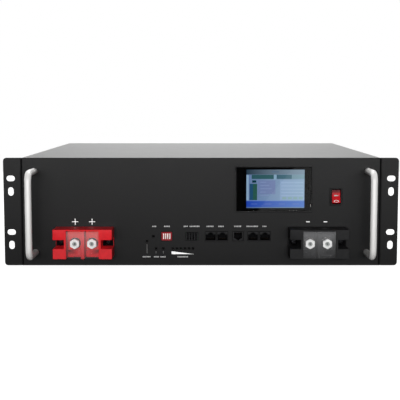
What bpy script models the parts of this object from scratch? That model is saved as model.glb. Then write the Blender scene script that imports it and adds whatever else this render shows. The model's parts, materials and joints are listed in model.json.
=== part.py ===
"""A rack-mount lithium battery pack: 19 inches wide and three rack units high.

Lengths are metres. The front faces -Y and the pack stands on Z = 0. The origin is on that
plane, under the middle of the whole pack with its handles.
"""

import math

import bmesh
import bpy
from mathutils import Matrix, Vector

# The whole pack
RACK_WIDTH = 0.4826
PANEL_HEIGHT = 0.1325
CASE_WIDTH = 0.4400
CASE_DEPTH = 0.4200
HANDLE_REACH = 0.0480
GAP = 0.0003  # clearance between neighbouring pieces
OVER = 0.0010  # how far a cutter runs past what it cuts, or a joined piece into its neighbour
CUT_ROOM = 0.0004  # clearance of a panel cut-out, on each side
FACE_Y = (HANDLE_REACH - CASE_DEPTH) / 2  # the front face of the panel
MID_Z = PANEL_HEIGHT / 2

# Sheet metal
PANEL_WIDTH = 0.4366
PANEL_SHEET = 0.0020
PANEL_RETURN = 0.0120
RETURN_SHEET = 0.0015
RETURN_INSET = (0.0045, 0.0020)  # from the panel's sides, and from its top or bottom
EAR_SHEET = 0.0020
EAR_SIDE = 0.0420  # length of the ear's side flange
EAR_CORNER = 0.0040
EAR_BEND = 0.0030
EAR_TRIM = 0.0025
SLOT_X = 0.2324
SLOT_SIZE = (0.0105, 0.0070)
SLOTS = ((0.0410, True), (0.0250, False), (-0.0250, True), (-0.0410, False))  # offset, lies flat
TRAY_SHEET = 0.0015
TRAY_BEND = 0.0025
COVER_SHEET = 0.0012
COVER_BEND = 0.0020
COVER_FLANGE = 0.0140
COVER_RELIEF = 0.0030  # from the ear's side flange to the cover's
REAR_LIP = 0.0030  # the walls run this far past the rear wall
TRAY_HALF = CASE_WIDTH / 2 - COVER_SHEET - GAP

# Handles
HANDLE_X = 0.2035
HANDLE_CENTRES = 0.1000
HANDLE_RADIUS = 0.0040
HANDLE_BEND = 0.0100

# Display
BEZEL = (0.0416, 0.0657, 0.1360, 0.1224)  # left, bottom, right, top
BEZEL_DEPTH = 0.0026
BEZEL_RIM = 0.0015
GLASS_SHEET = 0.0009
GLASS_INSET = 0.0001
SCREEN = (0.0554, 0.0711, 0.1263, 0.1182)
WINDOW_MARGIN = (0.0030, 0.0010)
MODULE_MARGIN = (0.0042, 0.0012)
MODULE_DEPTH = 0.0045
MODULE_BOARD_INSET = 0.0030
MODULE_BOARD_DEPTH = 0.0120

# Rocker switch
SWITCH = (0.1650, 0.0848)
SWITCH_FLANGE = (0.0150, 0.0210)
SWITCH_FLANGE_FRONT = 0.0023
SWITCH_BODY = (0.0128, 0.0188)
SWITCH_WELL = (0.0108, 0.0179)
SWITCH_WELL_DEPTH = 0.0080
SWITCH_DEPTH = 0.0150
SWITCH_BLADE = (0.0063, 0.0008, 0.0080)  # width, thickness, length
SWITCH_BLADE_OFFSET = 0.0055
ROCKER_WIDTH = 0.0102
ROCKER_HALF = 0.0080
ROCKER_FACE = 0.0026  # from the pivot to the middle of the face
ROCKER_UNDERSIDE = ((-0.0010, -ROCKER_HALF), (0.0025, -0.0050), (0.0036, 0.0))  # Y, Z from the pivot
ROCKER_PIVOT = 0.0006  # behind the panel face
ROCKER_TILT = math.radians(11)

# Interface row
ROW_Z = 0.0360
BOARD = (-0.0720, 0.0140, 0.0920, 0.0500)
BOARD_Y = 0.0176
BOARD_SHEET = 0.0016
RESET = (-0.0585, 0.0361)
RESET_RADIUS = 0.0013
RESET_DEPTHS = (0.0005, 0.0090)
RESET_STEM_RADIUS = 0.0020
RESET_TRAVEL = 0.0008
DIP_X = -0.0421
DIP_SIZE = (0.0126, 0.0102)
DIP_FRONT = 0.0006
DIP_PITCH = 0.00254
DIP_COUNT = 4
DIP_SLIDER = (0.0013, 0.0046)
DIP_SLIDER_FRONT = 0.0010
DIP_SLIDER_EDGE = 0.0002
DIP_TRAVEL = 0.0020
DIP_FLOOR = 0.0022
DRY_CONTACT_X = -0.0111
DRY_CONTACT_SIZE = (0.0144, 0.0096)
DRY_CONTACT_FRONT = 0.0005
DRY_CONTACT_PITCH = 0.0033
DRY_CONTACT_COUNT = 4
DRY_CONTACT_SLOT = (0.0018, 0.0062)
DRY_CONTACT_SLOT_DEPTH = 0.0070
PORTS = (
    ("rs485_port", 0.0119, "rj45"),
    ("can_port", 0.0264, "rj45"),
    ("rs232_port", 0.0455, "rj11"),
    ("parallel_in_port", 0.0639, "rj45"),
    ("parallel_out_port", 0.0786, "rj45"),
)
PORT_NOSE = (0.0128, 0.0114)
PORT_NOSE_DEPTHS = (-0.0002, 0.0060)
PORT_BODY = (0.0140, 0.0136)
PORT_CAVITY = 0.0110
JACK_BOTTOM = -0.0047
JACK_SHOULDER = 0.0022
JACKS = {  # half width, then the half width and top of each step for the plug's latch
    "rj45": (0.0059, ((0.0031, 0.0036), (0.0017, 0.0048))),
    "rj11": (0.0049, ((0.0031, 0.0034), (0.0016, 0.0046))),
}
LED_RADIUS = 0.0013
STATUS_LEDS = ((-0.0663, 0.0299), (-0.0553, 0.0209), (-0.0463, 0.0209))
CHARGE_LEDS = (-0.0346, -0.0098, 6)  # first X, last X, count
LED_Z = 0.0209
LIGHT_PIPE_BAR = 0.0040  # height and width of the bar that carries the pegs
LIGHT_PIPE_DEPTH = 0.0100
LENS_INSET = 0.0002

# Terminal blocks
BLOCK_X = 0.1421
BLOCK_Z = 0.03025
BLOCK_SIZE = (0.0710, 0.0357)
BLOCK_REACH = 0.0300
NOTCH = (0.0134, 0.0107)
FOOT = 0.0045
BAY_WIDTH = 0.0176
BAY_RIB = 0.0042
BAY_TOP = 0.0466
BAY_FLOOR = 0.0132
BAR_FRONT = 0.0138
BAR_SHEET = 0.0030
BAR_HEIGHT = (0.0217, 0.0377)
TAIL_WIDTH = 0.0160
TAIL_END = 0.0140
TAIL_Z = BAR_HEIGHT[1] - BAR_SHEET / 2
TAIL_CUT = (0.0200, 0.0074)
BOLT_Z = 0.0297
BOLT_OFFSET = 0.0104
BOLT_SHANK = (0.0039, 0.0028)  # radius, end in front of the panel face
BOLT_BORE = (0.0045, 0.0020)
BAR_HOLE = 0.0043
FLAT_WASHER = (0.0069, 0.0015)  # radius, thickness
SPRING_WASHER = (0.0063, 0.0019)
BOLT_HEAD = (0.0120, 0.0052)  # across flats, height
LID_FRONT = 0.0299
LID_SHEET = 0.0014
LID_HINGE = (0.0286, 0.0446)  # in front of the panel face, height
LID_BARREL = 0.0013
LID_PIN = (0.0007, 0.0016)  # radius, reach past the barrel
LID_BOTTOM = 0.0134
LID_LIP = (0.0120, 0.0014, 0.0012)  # width, height, reach

# Cells and electronics
CELL = (0.0500, 0.1600, 0.1160)
CELL_GAP = 0.0004
CELLS_ACROSS = 8
CELLS_FRONT = 0.0900
PAD_SHEET = 0.0020
CELL_BASE = TRAY_SHEET + GAP + PAD_SHEET + GAP
POST_HEIGHT = 0.0022
POST_SIZE = 0.0180
POST_INSET = 0.0350
END_PLATE_SHEET = 0.0060
LINK_BOARD_SHEET = 0.0018
LINK_BOARD_INSET = 0.0040
LINK = (0.0680, 0.0160, 0.0035)  # length, width, height above the board's underside
BMS = (-0.1000, 0.0300, 0.1000, 0.0840)  # left, front, right, rear
BMS_Z = 0.0600
BMS_SHEET = 0.0016
TRANSISTOR = (0.0100, 0.0080, 0.0050)  # width, length, height above the board's underside
TRANSISTOR_PITCH = 0.0160
TRANSISTOR_COUNT = 11
SINK_SHEET = 0.0030
SINK_INSET = 0.0040
FIN = (0.0020, 0.0140)  # thickness, height above the sink's underside
FIN_PITCH = 0.0060
FIN_COUNT = 8
LEAD_RADIUS = 0.0040

# Name: base colour, roughness, metallic
FINISHES = {
    "black_powder_coat": ((0.021, 0.021, 0.022), 0.55, 0.0),
    "grey_steel": ((0.42, 0.42, 0.42), 0.45, 0.3),
    "satin_aluminium": ((0.80, 0.80, 0.80), 0.35, 0.9),
    "gloss_black": ((0.004, 0.004, 0.005), 0.15, 0.0),
    "cover_glass": ((0.02, 0.02, 0.02), 0.05, 0.0),
    "screen": ((0.25, 0.42, 0.75), 0.30, 0.0),
    "black_plastic": ((0.014, 0.014, 0.015), 0.45, 0.0),
    "red_plastic": ((0.60, 0.015, 0.022), 0.38, 0.0),
    "white_plastic": ((0.80, 0.80, 0.78), 0.40, 0.0),
    "clear_plastic": ((0.75, 0.75, 0.76), 0.10, 0.0),
    "light_pipe": ((0.05, 0.05, 0.05), 0.20, 0.0),
    "plated_copper": ((0.62, 0.60, 0.56), 0.30, 1.0),
    "plated_steel": ((0.85, 0.85, 0.84), 0.25, 1.0),
    "circuit_board": ((0.01, 0.12, 0.05), 0.50, 0.0),
    "cell_film": ((0.03, 0.12, 0.45), 0.35, 0.0),
    "aluminium": ((0.70, 0.70, 0.72), 0.40, 1.0),
    "foam": ((0.05, 0.05, 0.05), 0.90, 0.0),
    "red_cable": ((0.55, 0.02, 0.02), 0.50, 0.0),
    "black_cable": ((0.02, 0.02, 0.02), 0.50, 0.0),
}

# Turns a drawing in local X and Y so that local Z runs along the named axis.
TURNS = {
    "X": Matrix(((0, 0, 1), (1, 0, 0), (0, 1, 0))).to_4x4(),
    "Y": Matrix.Rotation(math.pi / 2, 4, "X"),
    "Z": Matrix.Identity(4),
}


def clear_scene():
    for obj in list(bpy.data.objects):
        bpy.data.objects.remove(obj)


def new_collection(name):
    collection = bpy.data.collections.new(name)
    bpy.context.scene.collection.children.link(collection)
    return collection


clear_scene()
PACK = new_collection("battery_pack")
HELPERS = new_collection("cutters")


def behind(distance):
    """World Y this far behind the panel's front face."""
    return FACE_Y + distance


def finish(name):
    material = bpy.data.materials.get(name)
    if material is None:
        colour, roughness, metallic = FINISHES[name]
        material = bpy.data.materials.new(name)
        material.use_nodes = True
        shader = material.node_tree.nodes["Principled BSDF"]
        shader.inputs["Base Color"].default_value = (*colour, 1.0)
        shader.inputs["Roughness"].default_value = roughness
        shader.inputs["Metallic"].default_value = metallic
    return material


def place(name, data, location, finish_name=None):
    obj = bpy.data.objects.new(name, data)
    obj.location = location
    PACK.objects.link(obj)
    if finish_name and not data.materials:
        data.materials.append(finish(finish_name))
    return obj


def box(name, low, high, finish_name=None):
    """A box between two world corners, with its origin at its middle."""
    low, high = Vector(low), Vector(high)
    mesh = bpy.data.meshes.new(name)
    shape = bmesh.new()
    bmesh.ops.create_cube(shape, size=1.0, matrix=Matrix.Diagonal((*(high - low), 1.0)))
    shape.to_mesh(mesh)
    shape.free()
    return place(name, mesh, (low + high) / 2, finish_name)


def front_box(name, centre, size, depths, finish_name=None):
    """A box seen from the front: centre and size in X and Z, depths behind the panel face."""
    (x, z), (width, height), (near, far) = centre, size, depths
    return box(
        name,
        (x - width / 2, behind(near), z - height / 2),
        (x + width / 2, behind(far), z + height / 2),
        finish_name,
    )


def grown(size, margin):
    """A width and height with a margin added on every side."""
    return [length + 2 * extra for length, extra in zip(size, margin)]


def rod(name, radius, axis, span, at, sides=16, finish_name=None):
    """A round bar, or a prism of few sides, along an axis between two distances from its origin."""
    low, high = span
    mesh = bpy.data.meshes.new(name)
    shape = bmesh.new()
    middle = Matrix.Translation((0.0, 0.0, (low + high) / 2))
    aim = {"X": "Y", "Y": "X", "Z": "Z"}[axis]
    quarter = {"X": math.pi / 2, "Y": -math.pi / 2, "Z": 0.0}[axis]
    matrix = Matrix.Rotation(quarter, 4, aim) @ middle
    bmesh.ops.create_cone(
        shape, cap_ends=True, segments=sides, radius1=radius, radius2=radius,
        depth=high - low, matrix=matrix,
    )
    shape.to_mesh(mesh)
    shape.free()
    mesh.shade_smooth()
    mesh.set_sharp_from_angle(angle=math.radians(35))
    return place(name, mesh, at, finish_name)


def as_mesh(curve_object):
    """The same object with its curve made a welded mesh with whole flat faces, so that it can be cut."""
    graph = bpy.context.evaluated_depsgraph_get()
    mesh = bpy.data.meshes.new_from_object(curve_object.evaluated_get(graph))
    shape = bmesh.new()
    shape.from_mesh(mesh)
    bmesh.ops.remove_doubles(shape, verts=shape.verts, dist=0.000001)
    bmesh.ops.dissolve_degenerate(shape, dist=0.000001, edges=shape.edges[:])
    bmesh.ops.dissolve_limit(
        shape, angle_limit=math.radians(0.5), verts=shape.verts[:], edges=shape.edges[:]
    )
    shape.to_mesh(mesh)
    shape.free()
    name, matrix = curve_object.name, curve_object.matrix_world.copy()
    bpy.data.objects.remove(curve_object)
    obj = bpy.data.objects.new(name, mesh)
    obj.matrix_world = matrix
    PACK.objects.link(obj)
    return obj


def prism(name, outline, axis, span, at=(0.0, 0.0, 0.0), finish_name=None):
    """A closed flat outline run along an axis; it is drawn in the other two axes, in cyclic order,
    apart from Y, where it is drawn as seen from the front, in X and Z."""
    low, high = span
    curve = bpy.data.curves.new(name, "CURVE")
    curve.dimensions = "2D"
    curve.fill_mode = "BOTH"
    curve.extrude = (high - low) / 2
    spline = curve.splines.new("POLY")
    spline.points.add(len(outline) - 1)
    for point, (u, v) in zip(spline.points, outline):
        point.co = (u, v, 0.0, 1.0)
    spline.use_cyclic_u = True
    if finish_name:
        curve.materials.append(finish(finish_name))
    obj = place(name, curve, (0.0, 0.0, 0.0))
    along = Vector({"X": (1, 0, 0), "Y": (0, 1, 0), "Z": (0, 0, 1)}[axis]) * (low + high) / 2
    obj.matrix_world = Matrix.Translation(Vector(at) + along) @ TURNS[axis]
    bpy.context.view_layer.update()
    return as_mesh(obj)


def tube(name, points, radius, at, finish_name, resolution=2):
    """A round bar with flat ends along a line of points."""
    curve = bpy.data.curves.new(name, "CURVE")
    curve.dimensions = "3D"
    curve.bevel_depth = radius
    curve.bevel_resolution = resolution
    curve.use_fill_caps = True
    spline = curve.splines.new("POLY")
    spline.points.add(len(points) - 1)
    for spot, point in zip(spline.points, points):
        spot.co = (*point, 1.0)
    spline.use_smooth = True
    return place(name, curve, at, finish_name)


def combine(target, pieces, operation="DIFFERENCE"):
    """An exact Boolean of the target with each of some meshes, which become hidden helpers."""
    for piece in pieces:
        PACK.objects.unlink(piece)
        HELPERS.objects.link(piece)
        piece.hide_render = True
        piece.display_type = "WIRE"
        modifier = target.modifiers.new(piece.name, "BOOLEAN")
        modifier.operation = operation
        modifier.solver = "EXACT"
        modifier.object = piece


def soften(obj, width):
    """Small chamfered edges."""
    modifier = obj.modifiers.new("Bevel", "BEVEL")
    modifier.width = width
    modifier.segments = 1
    modifier.limit_method = "ANGLE"
    modifier.angle_limit = math.radians(35)


def arc(centre, radius, start, end, steps):
    """Points on a circle between two angles in degrees, both ends included."""
    turns = [math.radians(start + (end - start) * i / steps) for i in range(steps + 1)]
    return [(centre[0] + radius * math.cos(t), centre[1] + radius * math.sin(t)) for t in turns]


def obround(centre, length, width, upright, steps=8):
    """A slot with round ends."""
    reach, radius = (length - width) / 2, width / 2
    x, z = centre
    if upright:
        return arc((x, z + reach), radius, 0, 180, steps) + arc((x, z - reach), radius, 180, 360, steps)
    return arc((x + reach, z), radius, -90, 90, steps) + arc((x - reach, z), radius, 90, 270, steps)


def channel(half, closed, opened, sheet, bend, steps=3):
    """A folded sheet seen end on: a web at height closed, and two flanges up or down to opened."""
    way = 1 if opened > closed else -1
    inner = bend - sheet
    z = closed + way * bend
    outside = [(-half, opened)]
    outside += [(x, z + way * v) for x, v in arc((-half + bend, 0.0), bend, 180, 270, steps)]
    outside += [(x, z + way * v) for x, v in arc((half - bend, 0.0), bend, 270, 360, steps)]
    outside += [(half, opened)]
    inside = [(half - sheet, opened)]
    inside += [(x, z + way * v) for x, v in arc((half - bend, 0.0), inner, 360, 270, steps)]
    inside += [(x, z + way * v) for x, v in arc((-half + bend, 0.0), inner, 270, 180, steps)]
    inside += [(-half + sheet, opened)]
    return outside + inside


def row_places(middle, pitch, count):
    """The X of each of an evenly spaced row."""
    return [middle + pitch * (i - (count - 1) / 2) for i in range(count)]


def charge_led_places():
    first, last, count = CHARGE_LEDS
    return [(first + (last - first) * i / (count - 1), LED_Z) for i in range(count)]


def chassis_tray():
    """Floor, side walls and rear wall, open at the front and the top."""
    top = PANEL_HEIGHT - COVER_SHEET - GAP
    outline = channel(TRAY_HALF, 0.0, top, TRAY_SHEET, TRAY_BEND)
    tray = prism(
        "chassis_tray", outline, "Y", (PANEL_SHEET + GAP, CASE_DEPTH),
        at=(0.0, FACE_Y, 0.0), finish_name="grey_steel",
    )
    overlap = TRAY_SHEET / 2
    far = CASE_DEPTH - REAR_LIP
    rear = box(
        "rear_wall",
        (overlap - TRAY_HALF, behind(far - TRAY_SHEET), overlap),
        (TRAY_HALF - overlap, behind(far), top),
    )
    combine(tray, [rear], "UNION")


def top_cover():
    """The lid, with side flanges outside the tray that start behind the ears."""
    half = CASE_WIDTH / 2
    outline = channel(half, PANEL_HEIGHT, PANEL_HEIGHT - COVER_FLANGE, COVER_SHEET, COVER_BEND)
    cover = prism(
        "top_cover", outline, "Y", (PANEL_SHEET + GAP, CASE_DEPTH),
        at=(0.0, FACE_Y, 0.0), finish_name="grey_steel",
    )
    reliefs = []
    for side in (-1, 1):
        left, right = sorted((side * (half - COVER_BEND), side * (half + OVER)))
        low = (left, behind(0.0), PANEL_HEIGHT - COVER_FLANGE - OVER)
        high = (right, behind(EAR_SIDE + COVER_RELIEF), PANEL_HEIGHT - COVER_SHEET)
        reliefs.append(box(f"cover_relief_{side}", low, high))
    combine(cover, reliefs)


def front_panel():
    """The face plate with its returns, cut for everything that shows through it."""
    panel = front_box(
        "front_panel", (0.0, MID_Z), (PANEL_WIDTH, PANEL_HEIGHT), (0.0, PANEL_SHEET), "black_powder_coat"
    )
    width = PANEL_WIDTH - 2 * RETURN_INSET[0]
    offset = MID_Z - RETURN_INSET[1] - RETURN_SHEET / 2
    returns = [
        front_box(f"panel_return_{z:.3f}", (0.0, z), (width, RETURN_SHEET), (PANEL_SHEET / 2, PANEL_RETURN))
        for z in (MID_Z - offset, MID_Z + offset)
    ]
    combine(panel, returns, "UNION")
    combine(panel, panel_cutters())


def centre_and_size(edges):
    left, bottom, right, top = edges
    return ((left + right) / 2, (bottom + top) / 2), (right - left, top - bottom)


def panel_cutters():
    through = (-OVER, PANEL_SHEET + OVER)
    screen_centre, screen_size = centre_and_size(SCREEN)
    room = (CUT_ROOM, CUT_ROOM)
    cut_outs = [
        ("screen", screen_centre, grown(screen_size, MODULE_MARGIN)),
        ("switch", SWITCH, SWITCH_BODY),
        ("dip", (DIP_X, ROW_Z), DIP_SIZE),
        ("dry_contact", (DRY_CONTACT_X, ROW_Z), DRY_CONTACT_SIZE),
        *((name, (x, ROW_Z), PORT_NOSE) for name, x, _ in PORTS),
    ]
    cutters = [
        front_box(f"{name}_cut", centre, grown(size, room), through) for name, centre, size in cut_outs
    ]
    for side in (-1, 1):
        cutters.append(front_box(f"tail_cut_{side}", (side * BLOCK_X, TAIL_Z), TAIL_CUT, through))
    holes = [(RESET, RESET_RADIUS)]
    holes += [(spot, LED_RADIUS) for spot in (*STATUS_LEDS, *charge_led_places())]
    for number, ((x, z), radius) in enumerate(holes):
        cutters.append(rod(f"hole_{number}", radius + GAP, "Y", through, (x, FACE_Y, z), sides=12))
    return cutters


def rack_ear(name, side):
    """An angle bracket: a slotted front flange, and a side flange along the case."""
    near, far, sheet = TRAY_HALF + GAP, RACK_WIDTH / 2, EAR_SHEET
    inner = EAR_BEND - sheet
    drawing = [(far, 0.0), (far, sheet), (near + EAR_BEND, sheet)]
    drawing += arc((near + EAR_BEND, EAR_BEND), inner, 270, 180, 3)[1:]
    drawing += [(near + sheet, EAR_SIDE), (near, EAR_SIDE)]
    drawing += arc((near + EAR_BEND, EAR_BEND), EAR_BEND, 180, 270, 5)
    ear = prism(
        name, [(side * x, y) for x, y in drawing], "Z", (0.0, PANEL_HEIGHT),
        at=(0.0, FACE_Y, 0.0), finish_name="black_powder_coat",
    )
    corner, middle = EAR_CORNER, near - OVER
    shape = arc((far - corner, corner), corner, -90, 0, 4)
    shape += arc((far - corner, PANEL_HEIGHT - corner), corner, 0, 90, 4)
    shape += [(middle, PANEL_HEIGHT), (middle, 0.0)]
    at = (0.0, FACE_Y, 0.0)
    front = prism(f"{name}_shape", [(side * x, z) for x, z in shape], "Y", (-OVER, EAR_SIDE + OVER), at)
    combine(ear, [front], "INTERSECT")
    cutters = []
    for number, (offset, flat) in enumerate(SLOTS):
        slot = obround((side * SLOT_X, MID_Z + offset), *SLOT_SIZE, upright=not flat)
        cutters.append(prism(f"{name}_slot_{number}", slot, "Y", (-OVER, sheet + OVER), at))
    left, right = sorted((side * (near - OVER), side * (far + OVER)))
    for low, high in ((-OVER, EAR_TRIM), (PANEL_HEIGHT - EAR_TRIM, PANEL_HEIGHT + OVER)):
        corners = (left, behind(sheet), low), (right, behind(EAR_SIDE + OVER), high)
        cutters.append(box(f"{name}_trim_{low:.3f}", *corners))
    combine(ear, cutters)


def pull_handle(name, side):
    """A round bar bent into a D, butted on the panel."""
    reach, half, bend = HANDLE_REACH - HANDLE_RADIUS, HANDLE_CENTRES / 2, HANDLE_BEND
    drawing = [(-GAP, half)]
    drawing += arc((bend - reach, half - bend), bend, 90, 180, 6)
    drawing += arc((bend - reach, bend - half), bend, 180, 270, 6)
    drawing += [(-GAP, -half)]
    tube(
        name, [(0.0, y, z) for y, z in drawing], HANDLE_RADIUS,
        (side * HANDLE_X, FACE_Y, MID_Z), "satin_aluminium", resolution=4,
    )


def display():
    """A bezel on the panel, the cover glass in it, and the module behind it."""
    centre, size = centre_and_size(BEZEL)
    screen_centre, screen_size = centre_and_size(SCREEN)
    bezel = front_box("lcd_bezel", centre, size, (-BEZEL_DEPTH, -GAP), "gloss_black")
    seat = grown(size, (-BEZEL_RIM, -BEZEL_RIM))
    glass_front = GLASS_INSET - BEZEL_DEPTH
    seat_floor = glass_front + GLASS_SHEET + GAP
    window = grown(screen_size, WINDOW_MARGIN)
    cutters = [
        front_box("glass_seat", centre, seat, (-BEZEL_DEPTH - OVER, seat_floor)),
        front_box("screen_window", screen_centre, window, (seat_floor - OVER, OVER)),
    ]
    combine(bezel, cutters)
    glass_size = grown(seat, (-GAP, -GAP))
    front_box("lcd_glass", centre, glass_size, (glass_front, glass_front + GLASS_SHEET), "cover_glass")
    module_size = grown(screen_size, MODULE_MARGIN)
    module = front_box("lcd_module", screen_centre, module_size, (0.0, MODULE_DEPTH), "screen")
    board_size = grown(module_size, (-MODULE_BOARD_INSET, -MODULE_BOARD_INSET))
    board_depths = (MODULE_DEPTH / 2, MODULE_BOARD_DEPTH)
    board = front_box("module_board", screen_centre, board_size, board_depths)
    combine(module, [board], "UNION")


def rocker_switch():
    """A snap-in frame with a well, and the rocker with its origin on its pivot."""
    flange_depths = (-SWITCH_FLANGE_FRONT, -GAP)
    frame = front_box("switch_frame", SWITCH, SWITCH_FLANGE, flange_depths, "black_plastic")
    body = front_box("switch_body", SWITCH, SWITCH_BODY, (-OVER, SWITCH_DEPTH))
    x, z = SWITCH
    *blade_size, blade_length = SWITCH_BLADE
    blade_depths = (SWITCH_DEPTH - OVER, SWITCH_DEPTH + blade_length)
    blades = [
        front_box(f"switch_blade_{i}", (x, z + offset), blade_size, blade_depths)
        for i, offset in enumerate((-SWITCH_BLADE_OFFSET, SWITCH_BLADE_OFFSET))
    ]
    combine(frame, [body], "UNION")
    combine(frame, blades, "UNION")
    well_depths = (-SWITCH_FLANGE_FRONT - OVER, SWITCH_WELL_DEPTH)
    combine(frame, [front_box("switch_well", SWITCH, SWITCH_WELL, well_depths)])
    tip = ROCKER_FACE + ROCKER_HALF * math.tan(ROCKER_TILT)
    outline = [(-ROCKER_FACE, 0.0), (-tip, -ROCKER_HALF), *ROCKER_UNDERSIDE]
    outline += [(y, -z) for y, z in outline[-2:0:-1]]
    span = (-ROCKER_WIDTH / 2, ROCKER_WIDTH / 2)
    rocker = prism("switch_rocker", outline, "X", span, finish_name="red_plastic")
    pivot = Matrix.Translation((x, behind(ROCKER_PIVOT), z))
    rocker.matrix_world = pivot @ Matrix.Rotation(-ROCKER_TILT, 4, "X") @ TURNS["X"]


def reset_button():
    """A round button behind its hole, with a stem that reaches the board's switch."""
    x, z = RESET
    at = (x, FACE_Y, z)
    stem_span = (RESET_DEPTHS[1] - OVER, BOARD_Y - RESET_TRAVEL - 2 * GAP)
    button = rod("reset_button", RESET_RADIUS, "Y", RESET_DEPTHS, at, 12, "black_plastic")
    stem = rod("reset_stem", RESET_STEM_RADIUS, "Y", stem_span, at, sides=12)
    combine(button, [stem], "UNION")


def dip_switch():
    """A body with a slot for each slider, and the sliders at their lower stops."""
    body_depths = (-DIP_FRONT, BOARD_Y - GAP)
    body = front_box("dip_body", (DIP_X, ROW_Z), DIP_SIZE, body_depths, "red_plastic")
    width, height = DIP_SLIDER
    slot_size = grown((width, height + DIP_TRAVEL), (GAP, GAP))
    slot_depths = (-DIP_FRONT - OVER, DIP_FLOOR)
    places = row_places(DIP_X, DIP_PITCH, DIP_COUNT)
    combine(body, [front_box(f"dip_slot_{x:.4f}", (x, ROW_Z), slot_size, slot_depths) for x in places])
    low = ROW_Z - slot_size[1] / 2 + GAP + height / 2
    depths = (-DIP_SLIDER_FRONT, DIP_FLOOR - GAP)
    for number, x in enumerate(places, 1):
        slider = front_box(f"dip_slider_{number}", (x, low), DIP_SLIDER, depths, "white_plastic")
        soften(slider, DIP_SLIDER_EDGE)


def dry_contact_block():
    """A four-way contact block with an upright slot for each wire."""
    centre = (DRY_CONTACT_X, ROW_Z)
    depths = (-DRY_CONTACT_FRONT, BOARD_Y - GAP)
    block = front_box("dry_contact_block", centre, DRY_CONTACT_SIZE, depths, "black_plastic")
    slot_depths = (-DRY_CONTACT_FRONT - OVER, DRY_CONTACT_SLOT_DEPTH)
    slots = [
        front_box(f"dry_contact_slot_{x:.4f}", (x, ROW_Z), DRY_CONTACT_SLOT, slot_depths)
        for x in row_places(DRY_CONTACT_X, DRY_CONTACT_PITCH, DRY_CONTACT_COUNT)
    ]
    combine(block, slots)


def port_opening(kind):
    """The socket's mouth with the steps for the plug's latch, centred on its housing."""
    half, steps = JACKS[kind]
    outline = [(-half, JACK_BOTTOM), (half, JACK_BOTTOM), (half, JACK_SHOULDER)]
    for width, top in steps:
        outline += [(width, outline[-1][1]), (width, top)]
    outline += [(-u, v) for u, v in reversed(outline[2:])]
    return outline


def comm_port(name, x, kind):
    """A modular jack: its nose in the panel, its housing behind, its socket open at the front."""
    housing = front_box(name, (x, ROW_Z), PORT_NOSE, PORT_NOSE_DEPTHS, "black_plastic")
    body = front_box(f"{name}_body", (x, ROW_Z), PORT_BODY, (PANEL_SHEET + GAP, BOARD_Y - GAP))
    combine(housing, [body], "UNION")
    span = (PORT_NOSE_DEPTHS[0] - OVER, PORT_CAVITY)
    socket = prism(f"{name}_socket", port_opening(kind), "Y", span, at=(x, FACE_Y, ROW_Z))
    if kind == "rj11":
        socket.matrix_world = socket.matrix_world @ Matrix.Rotation(math.pi, 4, "Z")  # latch side down
    combine(housing, [socket])


def interface_electronics():
    """The board behind the interface row, and the light pipes of the status lights."""
    board_depths = (BOARD_Y, BOARD_Y + BOARD_SHEET)
    front_box("interface_board", *centre_and_size(BOARD), board_depths, "circuit_board")
    depths = (LIGHT_PIPE_DEPTH, BOARD_Y - GAP)
    first_x, first_z = STATUS_LEDS[0]
    last_x = CHARGE_LEDS[1]
    width = LIGHT_PIPE_BAR
    bar_size = (last_x - first_x + width, width)
    pipes = front_box("light_pipes", ((first_x + last_x) / 2, LED_Z), bar_size, depths, "light_pipe")
    rise_size = (width, first_z - LED_Z + width)
    rise = front_box("light_pipe_rise", (first_x, (first_z + LED_Z) / 2), rise_size, depths)
    peg_span = (LENS_INSET, LIGHT_PIPE_DEPTH + OVER)
    pegs = [
        rod(f"light_pipe_peg_{i}", LED_RADIUS, "Y", peg_span, (x, FACE_Y, z), sides=12)
        for i, (x, z) in enumerate((*STATUS_LEDS, *charge_led_places()))
    ]
    combine(pipes, [rise], "UNION")
    combine(pipes, pegs, "UNION")


def terminal_block(pole, side):
    """An insulating body with two bays, its copper bar, two bolts and a clear hinged lid."""
    x = side * BLOCK_X
    bay = BAY_WIDTH / 2 + BAY_RIB / 2
    half_width = bay + BAY_WIDTH / 2 - GAP  # of the lid and the bar, which pass over and under the rib
    terminal_body(pole, x, bay, half_width)
    bus_bar(f"{pole}_bus_bar", x, half_width)
    for label, way in (("left", -1), ("right", 1)):
        terminal_bolt(f"{pole}_bolt_{label}", x + way * BOLT_OFFSET)
    terminal_lid(f"{pole}_terminal_lid", x, half_width)


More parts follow.
